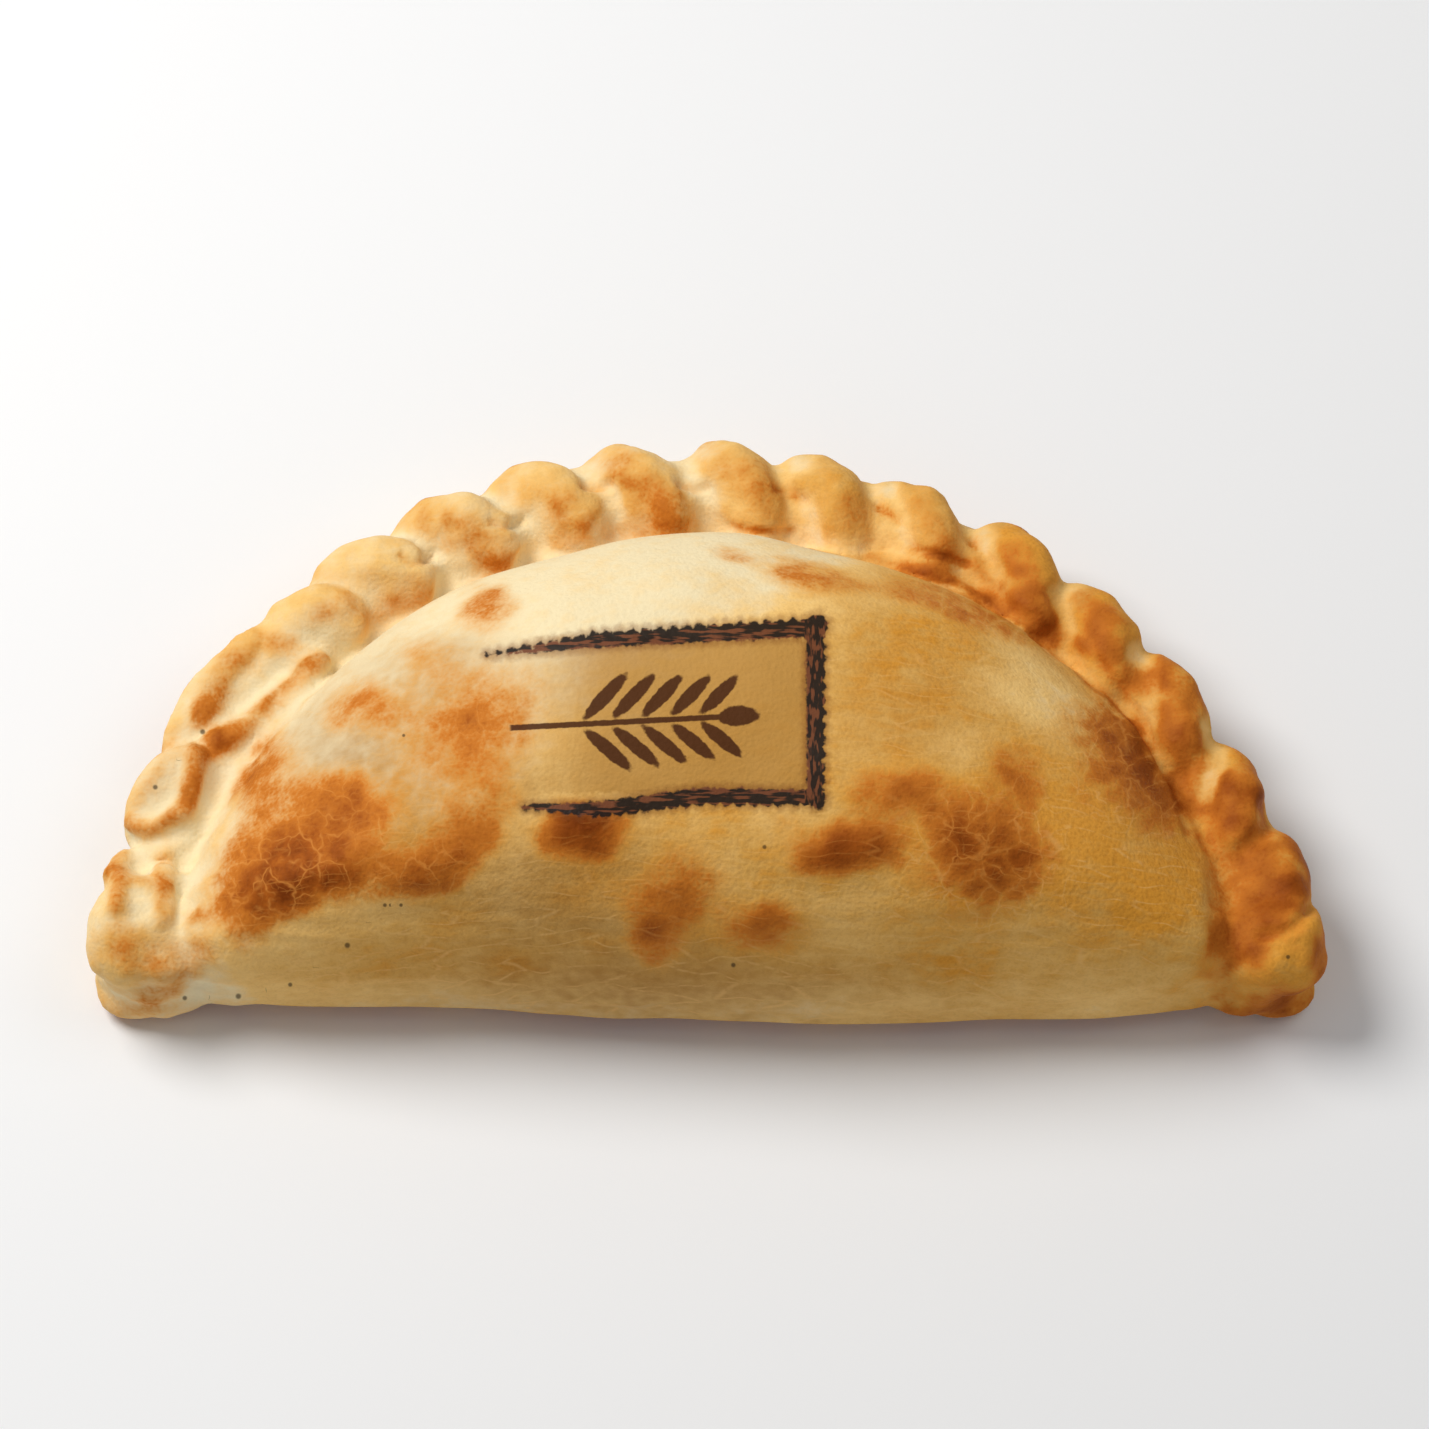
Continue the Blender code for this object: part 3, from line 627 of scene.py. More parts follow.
# Black specks of burnt flour: to the right, above the fold line, radius, in millimetres
SPECKS = (
    (-56.4, 31.7, 0.32), (-61.7, 25.5, 0.30), (-40.2, 7.8, 0.34), (-58.4, 1.9, 0.28),
    (-52.4, 2.1, 0.34), (-46.6, 3.4, 0.26), (-36.0, 12.3, 0.24), (-34.2, 12.3, 0.22),
    (6.5, 18.8, 0.26), (3.0, 5.6, 0.28), (65.1, 6.5, 0.26), (-33.9, 31.3, 0.2),
)


@dataclass(frozen=True)
class Stroke:
    """One charred line of the frame, in millimetres in the picture."""

    start: tuple[float, float]
    end: tuple[float, float]
    start_thickness: float
    end_thickness: float

    def measure(self, picture: Array) -> tuple[Array, Array]:
        """How places in the picture lie to the line.

        Returns:
            Their distance from the line's edge, below 0 inside it, and how far they
            lie to the left of the line, which is the frame's outer side.
        """
        step = np.subtract(self.end, self.start)
        length = float(np.linalg.norm(step))
        dx, dy = picture[0] - self.start[0], picture[1] - self.start[1]
        along = (dx * step[0] + dy * step[1]) / length
        across = (dy * step[0] - dx * step[1]) / length
        beyond = np.maximum(np.maximum(-along, along - length), 0.0)
        grown = (self.end_thickness - self.start_thickness) * np.clip(along / length, 0.0, 1.0)
        return np.hypot(across, beyond) - 0.5 * (self.start_thickness + grown), across


STROKES = (
    Stroke((-24.6, 40.2), (-12.0, 41.9), 0.3, 1.7),
    Stroke((-12.0, 41.9), (12.6, 43.3), 1.7, 2.0),
    Stroke((12.1, 43.8), (12.1, 24.0), 2.1, 1.9),
    Stroke((12.6, 24.4), (-0.7, 24.6), 1.7, 1.9),
    Stroke((-0.7, 24.6), (-12.0, 23.1), 1.9, 1.7),
    Stroke((-12.0, 23.1), (-20.4, 23.4), 1.7, 0.5),
)


class Dough:
    """The whole empanada as one skin of dough, from its sizes to its finished mesh."""

    PIECE = "baked_dough"
    VOXEL = 0.55 * MM

    # Heights of the relief, and sizes of its lumps
    BLISTER = 0.9 * MM
    BROAD, BROAD_SIZE = 0.6 * MM, 15.0 * MM
    KNOB, KNOB_SIZE = 0.40 * MM, 3.4 * MM
    SMALL_KNOB, SMALL_KNOB_SIZE = 0.22 * MM, 1.7 * MM
    WRINKLE, WRINKLE_SIZE = 0.16 * MM, 1.3 * MM
    WRINKLE_SQUEEZE = (0.12, 1.0, 1.0)

    # Where the rim, the seen side, the tray and the underside end, sizes of the patches
    # in how the dough is baked, and sizes of the sway of the marks' edges
    RIM_EDGE = (9.0 * MM, 12.0 * MM)
    SEEN_EDGE = (-0.12, 0.08)
    TRAY_EDGE = (0.3 * MM, 2.5 * MM)
    UNDER_EDGE = (0.3, 0.9)
    BLOTCH_SIZE = 7.0 * MM
    SPECKLE_SIZE = 2.6 * MM
    TRAY_SIZE = 9.0 * MM
    SWAY_SIZES = (5.0 * MM, 4.5 * MM)
    CREST_PASSES = 60

    def __init__(self, rim: Rim, pocket: Pocket, view: PhotoView) -> None:
        """Keep the forms it is made of and the view that its marks are placed in."""
        self.rim = rim
        self.pocket = pocket
        self.view = view
        self.noise = Noise(11)
        self.piece: bpy.types.Object | None = None
        self.shift = np.zeros(3)

    def raw_shapes(self) -> list[tuple[Ball, Array]]:
        """Every closed lump of dough that is fused, as grid and points."""
        def upright(unit: Array) -> Array:
            return unit[:, [1, 2, 0]]

        pocket_grid, band_grid, core_grid = Ball(90, 220), Ball(24, 220), Ball(200, 24)
        pleat_grid, tip_grid = Ball(36, 32), Ball(20, 24)
        shapes = [
            (pocket_grid, self.pocket.dome(upright(pocket_grid.points()))),
            (band_grid, self.pocket.band(upright(band_grid.points()))),
            (core_grid, self.rim.core(core_grid.points())),
        ]
        shapes += [(tip_grid, lump) for lump in self.rim.lumps(tip_grid.points())]
        shapes += [(pleat_grid, self.rim.strand(pleat, pleat_grid.points())) for pleat in self.rim.pleats]
        return shapes

    def fuse(self) -> None:
        """Join the lumps in one mesh and remesh it, which leaves only the outer skin."""
        points, faces = [], []
        for grid, placed in self.raw_shapes():
            faces += grid.faces(sum(len(done) for done in points))
            points.append(placed)
        mesh = bpy.data.meshes.new("lumps")
        mesh.from_pydata(np.vstack(points).tolist(), [], faces)
        lumps = add_object("lumps", mesh)
        skin = lumps.modifiers.new("skin", "REMESH")
        skin.mode = "VOXEL"
        skin.voxel_size = self.VOXEL
        evaluated = lumps.evaluated_get(bpy.context.evaluated_depsgraph_get())
        fused = bpy.data.meshes.new_from_object(evaluated)
        bpy.data.objects.remove(lumps)
        bpy.data.meshes.remove(mesh)
        fused.name = self.PIECE
        self.piece = add_object(self.PIECE, fused)

    @staticmethod
    def pull(parts: bpy.types.bpy_prop_collection, key: str, width: int, kind: type = float) -> Array:
        """Read one property of a mesh's parts, a row for each."""
        flat = np.empty(len(parts) * width, dtype=kind)
        parts.foreach_get(key, flat)
        return flat.reshape(-1, width)

    def write(self, points: Array) -> Array:
        """Move the mesh's points and read the skin's outward direction at each."""
        self.piece.data.vertices.foreach_set("co", points.ravel())
        self.piece.data.update()
        return self.pull(self.piece.data.vertex_normals, "vector", 3)

    @staticmethod
    def relaxed(values: Array, links: Array, passes: int) -> Array:
        """Move values halfway to the mean of their neighbours, again and again."""
        values = values.copy()
        starts, ends = links.T
        count = np.bincount(links.ravel(), minlength=len(values))
        for _ in range(passes):
            for axis in range(values.shape[1]):
                column = values[:, axis]
                total = np.bincount(starts, column[ends], len(values))
                total += np.bincount(ends, column[starts], len(values))
                values[:, axis] = 0.5 * column + 0.5 * total / count
        return values

    def settle(self, points: Array) -> Array:
        """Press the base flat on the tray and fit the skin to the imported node's box."""
        points[:, 2] = np.maximum(points[:, 2], 0.0)
        self.shift = floor_middle(*BOX) - floor_middle(points.min(0), points.max(0))
        return points + self.shift

    def keep_in_box(self, points: Array) -> Array:
        """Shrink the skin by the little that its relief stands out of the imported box."""
        low, high = points.min(0), points.max(0)
        ratio = np.minimum((BOX[1] - BOX[0]) / (high - low), 1.0)
        return (points - floor_middle(low, high)) * ratio + floor_middle(*BOX)

    def store(self, **layers: Array) -> None:
        """Store one number or one vector for each point, under the name it is given by."""
        for name, values in layers.items():
            kind, key = ("FLOAT", "value") if values.ndim == 1 else ("FLOAT_VECTOR", "vector")
            layer = self.piece.data.attributes.new(name, kind, "POINT")
            layer.data.foreach_set(key, values.astype(np.float32).ravel())

    @staticmethod
    def layered(spots: tuple[Spot, ...], picture: Array, drift: Array) -> Array:
        """The joint strength of many spots, each laid over the others."""
        left = np.ones(picture.shape[1])
        for spot in spots:
            left *= 1.0 - spot.strength * spot.cover(picture, drift)
        return 1.0 - left

    def crowns(self, points: Array) -> tuple[Array, Array]:
        """How much each point belongs to the rim, and how its pleat's crown is baked."""
        angle, turn, distance = self.rim.around(points)
        on_rim = 1.0 - ease(distance, *self.RIM_EDGE)
        baked = np.zeros(len(points))
        for pleat in self.rim.pleats:
            along, across = self.rim.crown(pleat, angle, turn)
            baked = np.maximum(baked, pleat.toast * hill(along, 0.0, 0.85) * hill(across, 0.15, 0.75))
        return on_rim, baked

    def shape(self) -> None:
        """Fuse, soften and raise the relief, then store what the finish needs."""
        self.fuse()
        mesh = self.piece.data
        links = self.pull(mesh.edges, "vertices", 2, np.int32)
        points = self.settle(self.relaxed(self.pull(mesh.vertices, "co", 3), links, 2))
        normals = self.write(points)
        marks = self.marks(points, normals)
        points = self.relaxed(self.raised(points, normals, marks), links, 1)
        points[:, 2] = np.maximum(points[:, 2], 0.0)
        points = self.keep_in_box(points)
        normals = self.write(points)
        crest = ((points - self.relaxed(points, links, self.CREST_PASSES)) * normals).sum(1) / MM
        picture = self.view.project(points)
        self.bake(points, normals, crest, picture, marks)
        self.place_marks(picture)
        mesh.shade_smooth()

    def marks(self, points: Array, normals: Array) -> SimpleNamespace:
        """What the tables of marks say about each point of the smooth skin.

        Returns:
            As shares from 0 to 1: seen by the camera, on_rim, baked (a crown), on_wall,
            puff, cracked, pale (pale dough, with painted light along the bottom edge and on the
            right shoulder), fold_pale and the three kinds of toast, of which the folds' toast is
            painted shade on the creases. drift is how far the marks' edges wander, and rise the
            folds' height, in millimetres.
        """
        picture = self.view.project(points)
        on_rim, baked = self.crowns(points - self.shift)
        on_dome, on_wall = self.rim.dome_share(points - self.shift, normals)
        across, along = self.SWAY_SIZES
        aside = 1.1 * self.noise.at(points, across, 4)
        drift = np.stack([aside, self.noise.at(points + 0.05, along, 4)])
        cracked = np.max([spot.cracked * spot.cover(picture, drift) for spot in DOME_SPOTS], axis=0)
        rise, fold_toast_and_shade, fold_pale = self.folded(picture, 0.25 * drift) * (1.0 - on_wall)
        return SimpleNamespace(
            seen=ease(self.view.facing(points, normals), *self.SEEN_EDGE),
            on_rim=on_rim, baked=baked, on_wall=on_wall, drift=drift,
            puff=np.max([spot.puff * spot.swell(picture) for spot in DOME_SPOTS], axis=0),
            cracked=cracked * on_dome,
            dome_toast=self.layered(DOME_SPOTS, picture, drift) * on_dome,
            rim_toast=self.layered(RIM_SPOTS, picture, 0.6 * drift) * (1.0 - on_wall),
            pale_and_painted_light=self.layered(PALE_AND_PAINTED_LIGHT_SPOTS, picture, 0.5 * drift),
            rise=rise, fold_toast_and_shade=fold_toast_and_shade, fold_pale=fold_pale)

    def raised(self, points: Array, normals: Array, marks: SimpleNamespace) -> Array:
        """The points moved out by blisters, knobs, wrinkles and folds, but not at the tray."""
        off_rim = 1.0 - marks.on_rim
        noise = self.noise.at
        broad = self.BROAD * noise(points, self.BROAD_SIZE, 2) * off_rim
        blisters = self.BLISTER * marks.puff * marks.seen * off_rim
        small_knobs = self.SMALL_KNOB * noise(points, self.SMALL_KNOB_SIZE)
        knobs = self.KNOB * noise(points, self.KNOB_SIZE) + small_knobs
        low = (1.0 - ease(self.view.project(points)[1], 6.0, 20.0)) * off_rim
        wrinkles = low * self.WRINKLE * noise(points * self.WRINKLE_SQUEEZE, self.WRINKLE_SIZE, 2)
        relief = broad + blisters + marks.on_rim * knobs + wrinkles + marks.rise * MM * marks.seen
        lifted = ease(points[:, 2], *self.TRAY_EDGE)
        return points + normals * (lifted * relief)[:, None]

    def bake(self, points: Array, normals: Array, crest: Array, picture: Array,
             marks: SimpleNamespace) -> None:
        """Work out and store how far each point is baked, with painted shade in the creases, at the foot of
        the dome's wall and low on the front, and painted light along the bottom edge.

        Args:
            points: the finished skin.
            normals: its outward directions.
            crest: how far it stands out of its surroundings, in millimetres.
            picture: its places in the picture.
            marks: what the tables say about it.
        """
        right, above = picture
        seen, on_rim, off_rim = marks.seen, marks.on_rim, 1.0 - marks.on_rim
        blotch = self.noise.at(points, self.BLOTCH_SIZE, 3)
        speckle = self.noise.at(points + 0.02, self.SPECKLE_SIZE, 2)
        under = ease(-normals[:, 2], *self.UNDER_EDGE)
        tray = under * (0.42 + 0.35 * self.noise.at(points, self.TRAY_SIZE, 2))

        warmth = 0.95 * ease(0.6 * right - above, -54.0, -26.0)
        belly = 0.30 * ease(right, 5.0, 40.0) + 0.16 * ease(right, 42.0, 58.0)
        warmth = (warmth + belly * ease(above, -4.0, 20.0)) * off_rim
        warmth += (0.08 + 0.85 * ease(right, -20.0, 50.0) + 0.30 * ease(crest, -0.3, 0.4)) * on_rim
        # Pale spots take warmth out; along the bottom edge and on the right shoulder this is painted light.
        warmth = (warmth + 0.22 * blotch) * (1.0 - marks.pale_and_painted_light * seen) * (1.0 - 0.8 * marks.fold_pale * seen)

        # On the right pleats: a golden tint, plus painted shade that deepens in the valleys between them; the
        # crowns are a little more baked.
        valley_shade_and_tint = (0.12 + 0.16 * ease(-crest, -0.1, 0.4)) * ease(right, 36.0, 56.0)
        golden_and_valley_shade = on_rim * (0.09 * ease(crest, -0.2, 0.5) + valley_shade_and_tint)
        # Painted shade at the foot of the dome's steep wall behind the right pleats, which also hides a
        # bright edge of light there.
        wall_foot_shade = 0.45 * marks.on_wall * ease(-crest, 0.15, 0.6) * ease(right, 8.0, 24.0)
        rim_share = 0.39 + 0.33 * ease(right, 15.0, 62.0)
        plain = (1.0 - marks.dome_toast) * (1.0 - rim_share * marks.rim_toast) * (1.0 - marks.fold_toast_and_shade)
        plain *= (1.0 - golden_and_valley_shade) * (1.0 - wall_foot_shade)
        outside = 0.9 * marks.baked + 0.30 * np.clip(blotch + 0.2, 0.0, 1.0)
        outside *= on_rim * (1.0 - seen) * (1.0 - under)
        toast = (1.0 - plain) * seen * (1.0 - marks.fold_pale) + outside
        toast *= 1.0 + (0.22 + 0.22 * on_rim) * speckle + 0.25 * on_rim * np.clip(crest, -0.6, 0.6)

        wrinkled = 0.35 + 0.65 * (1.0 - ease(above, 8.0, 26.0)) + 0.45 * ease(right, 8.0, 36.0)
        wrinkled *= (1.0 - ease(above, 40.0, 48.0)) * off_rim * seen
        self.store(
            # toast also carries painted shade in the creases, in the right pleats' valleys and at the foot of
            # the dome's wall.
            toast=np.clip(toast + tray, 0.0, 1.0),
            warmth=np.clip(warmth + 0.2 * under, 0.0, 1.3),
            # Partly painted shade low on the front.
            dull=self.layered(DULL_AND_SHADE_SPOTS, picture, marks.drift) * seen * off_rim,
            cracked=marks.cracked * seen,
            wrinkled=np.clip(wrinkled, 0.0, 1.0),
            seen=seen)

    def place_marks(self, picture: Array) -> None:
        """Store each point's place in the picture and how it lies to the frame and specks."""
        gaps, outward = np.swapaxes([stroke.measure(picture) for stroke in STROKES], 0, 1)
        nearest = np.argmin(gaps, axis=0)[None]
        self.store(
            picture=np.stack([*picture, np.zeros(picture.shape[1])], -1),
            frame_gap=np.take_along_axis(gaps, nearest, 0)[0],
            frame_out=np.take_along_axis(outward, nearest, 0)[0],
            speck=self.nearest_speck(picture))

    @staticmethod
    def folded(picture: Array, drift: Array) -> Array:
        """What all the folds do at places in the picture.

        Returns:
            Three rows: their height in millimetres, how far they are toasted, which on the
            creases is painted shade, and how far they stay pale.
        """
        rise, brown, light = 0.0, 1.0, 1.0
        for fold in FOLDS:
            cover = fold.cover(picture + drift)
            rise = rise + fold.rise * cover
            brown = brown * (1.0 - max(fold.strength, 0.0) * cover)
            light = light * (1.0 - max(-fold.strength, 0.0) * cover)
        return np.stack([rise, 1.0 - brown, 1.0 - light])

    @staticmethod
    def nearest_speck(picture: Array) -> Array:
        """Offset of each point from its nearest speck in the picture, over the speck's radius."""
        places = np.array(SPECKS)
        offsets = (picture.T[:, None, :] - places[None, :, :2]) / places[None, :, 2:3]
        nearest = np.argmin((offsets ** 2).sum(-1), axis=1)
        chosen = offsets[np.arange(len(nearest)), nearest]
        return np.pad(chosen, ((0, 0), (0, 1)))

    def dress(self, material: bpy.types.Material) -> None:
        """Give the skin its finish and put it in the frame."""
        self.piece.data.materials.clear()
        self.piece.data.materials.append(material)
        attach(self.piece, BODY)
        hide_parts(NODE)


def shade(red: int, green: int, blue: int) -> tuple[float, float, float, float]:
    """A colour as seen on a screen, 0 to 255, turned into linear light."""
    def linear(value: int) -> float:
        part = value / 255.0
        return part / 12.92 if part <= 0.04045 else ((part + 0.055) / 1.055) ** 2.4

    return linear(red), linear(green), linear(blue), 1.0


class Tone(Enum):
    """The colours of baked dough, from raw to burnt. The dull tone is also used as painted shade low on the
    front.
    """

    CREAM = shade(236, 219, 178)
    STRAW = shade(240, 198, 124)
    TAN = shade(220, 168, 86)
    GOLD = shade(220, 154, 62)
    AMBER = shade(199, 118, 39)
    BROWN = shade(159, 82, 21)
    DARK = shade(118, 53, 8)
    DULL_AND_SHADE = shade(160, 114, 58)
    HONEY = shade(220, 152, 54)
    PORE = shade(200, 176, 140)
    CRACK = shade(240, 194, 122)
    SEAM = shade(222, 148, 68)
    PATCH = shade(180, 132, 64)
    CHAR = shade(24, 15, 11)
    SCORCH = shade(112, 62, 36)
    HALO = shade(124, 70, 28)
    EAR = shade(70, 34, 18)
    SPECK = shade(50, 40, 28)


Number = "Signal | float"


def operator(operation: str) -> Callable[..., "Signal"]:
    """A method of signals that applies a Math node's operation to them and other numbers."""
    def apply(first: "Signal", *others: Number) -> "Signal":
        node = first.bench.node("Math", {"operation": operation}, dict(enumerate((first,) + others)))
        return Signal(first.bench, node.outputs[0])

    return apply


class Signal:
    """A number that flows through a material, with arithmetic on it."""

    __add__ = __radd__ = operator("ADD")
    __sub__ = operator("SUBTRACT")
    __mul__ = __rmul__ = operator("MULTIPLY")
    __truediv__ = operator("DIVIDE")
    __pow__ = operator("POWER")
    __abs__ = operator("ABSOLUTE")
    highest = operator("MAXIMUM")
    modulo = operator("FLOORED_MODULO")
    sine = operator("SINE")

    def __init__(self, bench: "Bench", socket: Socket) -> None:
        """Wrap an output socket."""
        self.bench = bench
        self.socket = socket

    def __rsub__(self, other: float) -> "Signal":
        """Subtract from a number."""
        return self * -1.0 + other

    def rise(self, low: Number, high: Number) -> "Signal":
        """Rise smoothly from 0 at low to 1 at high."""
        settings = {"interpolation_type": "SMOOTHSTEP"}
        values = {"Value": self, "From Min": low, "From Max": high}
        return Signal(self.bench, self.bench.node("MapRange", settings, values).outputs["Result"])

    def fall(self, low: Number, high: Number) -> "Signal":
        """Fall smoothly from 1 at low to 0 at high."""
        return 1.0 - self.rise(low, high)


class Bench:
    """The node tree of one material, and the ways to add to it."""

    def __init__(self, name: str) -> None:
        """Start a material with nothing but its shader and output."""
        self.material = bpy.data.materials.new(name)
        self.material.use_nodes = True
        self.tree = self.material.node_tree
        self.shader = self.tree.nodes["Principled BSDF"]

    def node(self, kind: str, settings: dict[str, object], values: dict[str | int, object]) -> bpy.types.Node:
        """Add a node.

        Args:
            kind: the node's type name after ShaderNode.
            settings: its properties.
            values: its inputs by name or number, each a Signal, a socket or a value.

        Returns:
            The node.
        """
        node = self.tree.nodes.new("ShaderNode" + kind)
        for key, value in settings.items():
            setattr(node, key, value)
        for key, value in values.items():
            self.feed(node.inputs[key], value)
        return node

    def feed(self, socket: Socket, value: object) -> None:
        """Link a signal or socket to an input, or set its value or tone."""
        source = value.socket if isinstance(value, Signal) else value
        if isinstance(source, Socket):
            self.tree.links.new(source, socket)
        else:
            socket.default_value = source.value if isinstance(source, Tone) else source

    def finish(self, values: dict[str, object]) -> None:
        """Feed the shader's inputs."""
        for key, value in values.items():
            self.feed(self.shader.inputs[key], value)

    def parts(self, vector: object) -> tuple[Signal, Signal]:
        """The first two numbers of a vector."""
        split = self.node("SeparateXYZ", {}, {0: vector})
        return Signal(self, split.outputs[0]), Signal(self, split.outputs[1])

    def attribute(self, name: str) -> Signal:
        """A number stored in the mesh."""
        node = self.node("Attribute", {"attribute_name": name}, {})
        return Signal(self, node.outputs["Fac"])

    def attribute_vector(self, name: str) -> Socket:
        """A vector stored in the mesh."""
        return self.node("Attribute", {"attribute_name": name}, {}).outputs["Vector"]

    def vector(self, operation: str, *others: object, output: str = "Vector") -> Socket:
        """Apply a Vector Math node's operation."""
        node = self.node("VectorMath", {"operation": operation}, dict(enumerate(others)))
        return node.outputs[output]

    def scaled(self, place: object, factor: float) -> Socket:
        """A vector made longer by a factor."""
        return self.vector("MULTIPLY", place, (factor, factor, factor))

    def dot(self, first: object, second: object) -> Signal:
        """The dot product of two vectors."""
        return Signal(self, self.vector("DOT_PRODUCT", first, second, output="Value"))

    def noise(self, place: object, size: float, detail: float, roughness: float = 0.5,
              space: str = "2D") -> bpy.types.Node:
        """Noise from 0 to 1, whose lumps have a size in the place's units."""
        values = {"Vector": place, "Scale": 1.0 / size, "Detail": detail, "Roughness": roughness}
        return self.node("TexNoise", {"noise_dimensions": space}, values)

    def grain(self, *noise: object) -> Signal:
        """One number from a noise, with its settings."""
        return Signal(self, self.noise(*noise).outputs["Fac"])

    def cracks(self, place: object, size: float) -> Signal:
        """Distance from the nearest crack of a network over the picture, in cells."""
        settings = {"feature": "DISTANCE_TO_EDGE", "voronoi_dimensions": "2D"}
        node = self.node("TexVoronoi", settings, {"Vector": place, "Scale": 1.0 / size})
        return Signal(self, node.outputs["Distance"])

    def mix(self, amount: Signal, below: object, above: object, blend: str = "MIX") -> Socket:
        """Lay one colour over another."""
        settings = {"data_type": "RGBA", "blend_type": blend}
        return self.node("Mix", settings, {0: amount, 6: below, 7: above}).outputs[2]

    def ramp(self, amount: Signal, stops: tuple[tuple[float, Tone], ...]) -> Socket:
        """A colour that changes through stops as an amount grows."""
        node = self.node("ValToRGB", {}, {0: amount})
        elements = node.color_ramp.elements
        while len(elements) < len(stops):
            elements.new(0.5)
        for element, (place, tone) in zip(elements, stops):
            element.position = place
            element.color = tone.value
        return node.outputs["Color"]


@dataclass(frozen=True)
class WheatEar:
    """A burned ear of wheat: slanted grains on both sides of a stem, and one at the tip.

    Places and sizes are in millimetres in the picture, and edge is where a grain ends.
    """

    middle: tuple[float, float] = (-7.4, 32.9)
    turn: float = math.radians(3.0)
    pitch: float = 3.3
    rows: int = 5
    slant: float = 0.95
    grain_offset: float = 2.75
    grain_length: float = 2.35
    grain_width: float = 1.15
    stem: tuple[float, float] = (-14.6, 9.0)
    stem_width: float = 0.62
    tip: tuple[float, float] = (11.0, 2.4)
    edge: tuple[float, float] = (0.86, 1.06)

    def cover(self, bench: Bench, picture: object, ragged: Signal) -> Signal:
        """How much of the ear lies here, 0 to 1."""
        offset = bench.vector("SUBTRACT", picture, (*self.middle, 0.0))
        along = bench.dot(offset, (math.cos(self.turn), math.sin(self.turn), 0.0))
        across = abs(bench.dot(offset, (-math.sin(self.turn), math.cos(self.turn), 0.0)))
        reach = 0.5 * self.pitch * self.rows
        sheared = along - across * self.slant + reach
        cell = sheared.modulo(self.pitch) - 0.5 * self.pitch
        grown = across * (sheared * 0.014 + 0.9)
        outwards = (grown - self.grain_offset) / self.grain_length
        grain = ((cell / self.grain_width) ** 2.0 + outwards ** 2.0) ** 0.5
        within = sheared.rise(-0.01, 0.01) * sheared.fall(2.0 * reach - 0.01, 2.0 * reach + 0.01)
        grains = (grain + ragged).fall(*self.edge) * within
        tip_place, tip_length = self.tip
        tip = (((along - tip_place) / tip_length) ** 2.0 + (across / self.grain_width) ** 2.0) ** 0.5
        start, end = self.stem
        stem = (across + ragged * 0.5).fall(0.4 * self.stem_width, 0.65 * self.stem_width)
        stem = stem * along.rise(start - 0.2, start + 0.2) * along.fall(end - 0.2, end + 0.2)
        return grains.highest((tip + ragged).fall(*self.edge)).highest(stem)


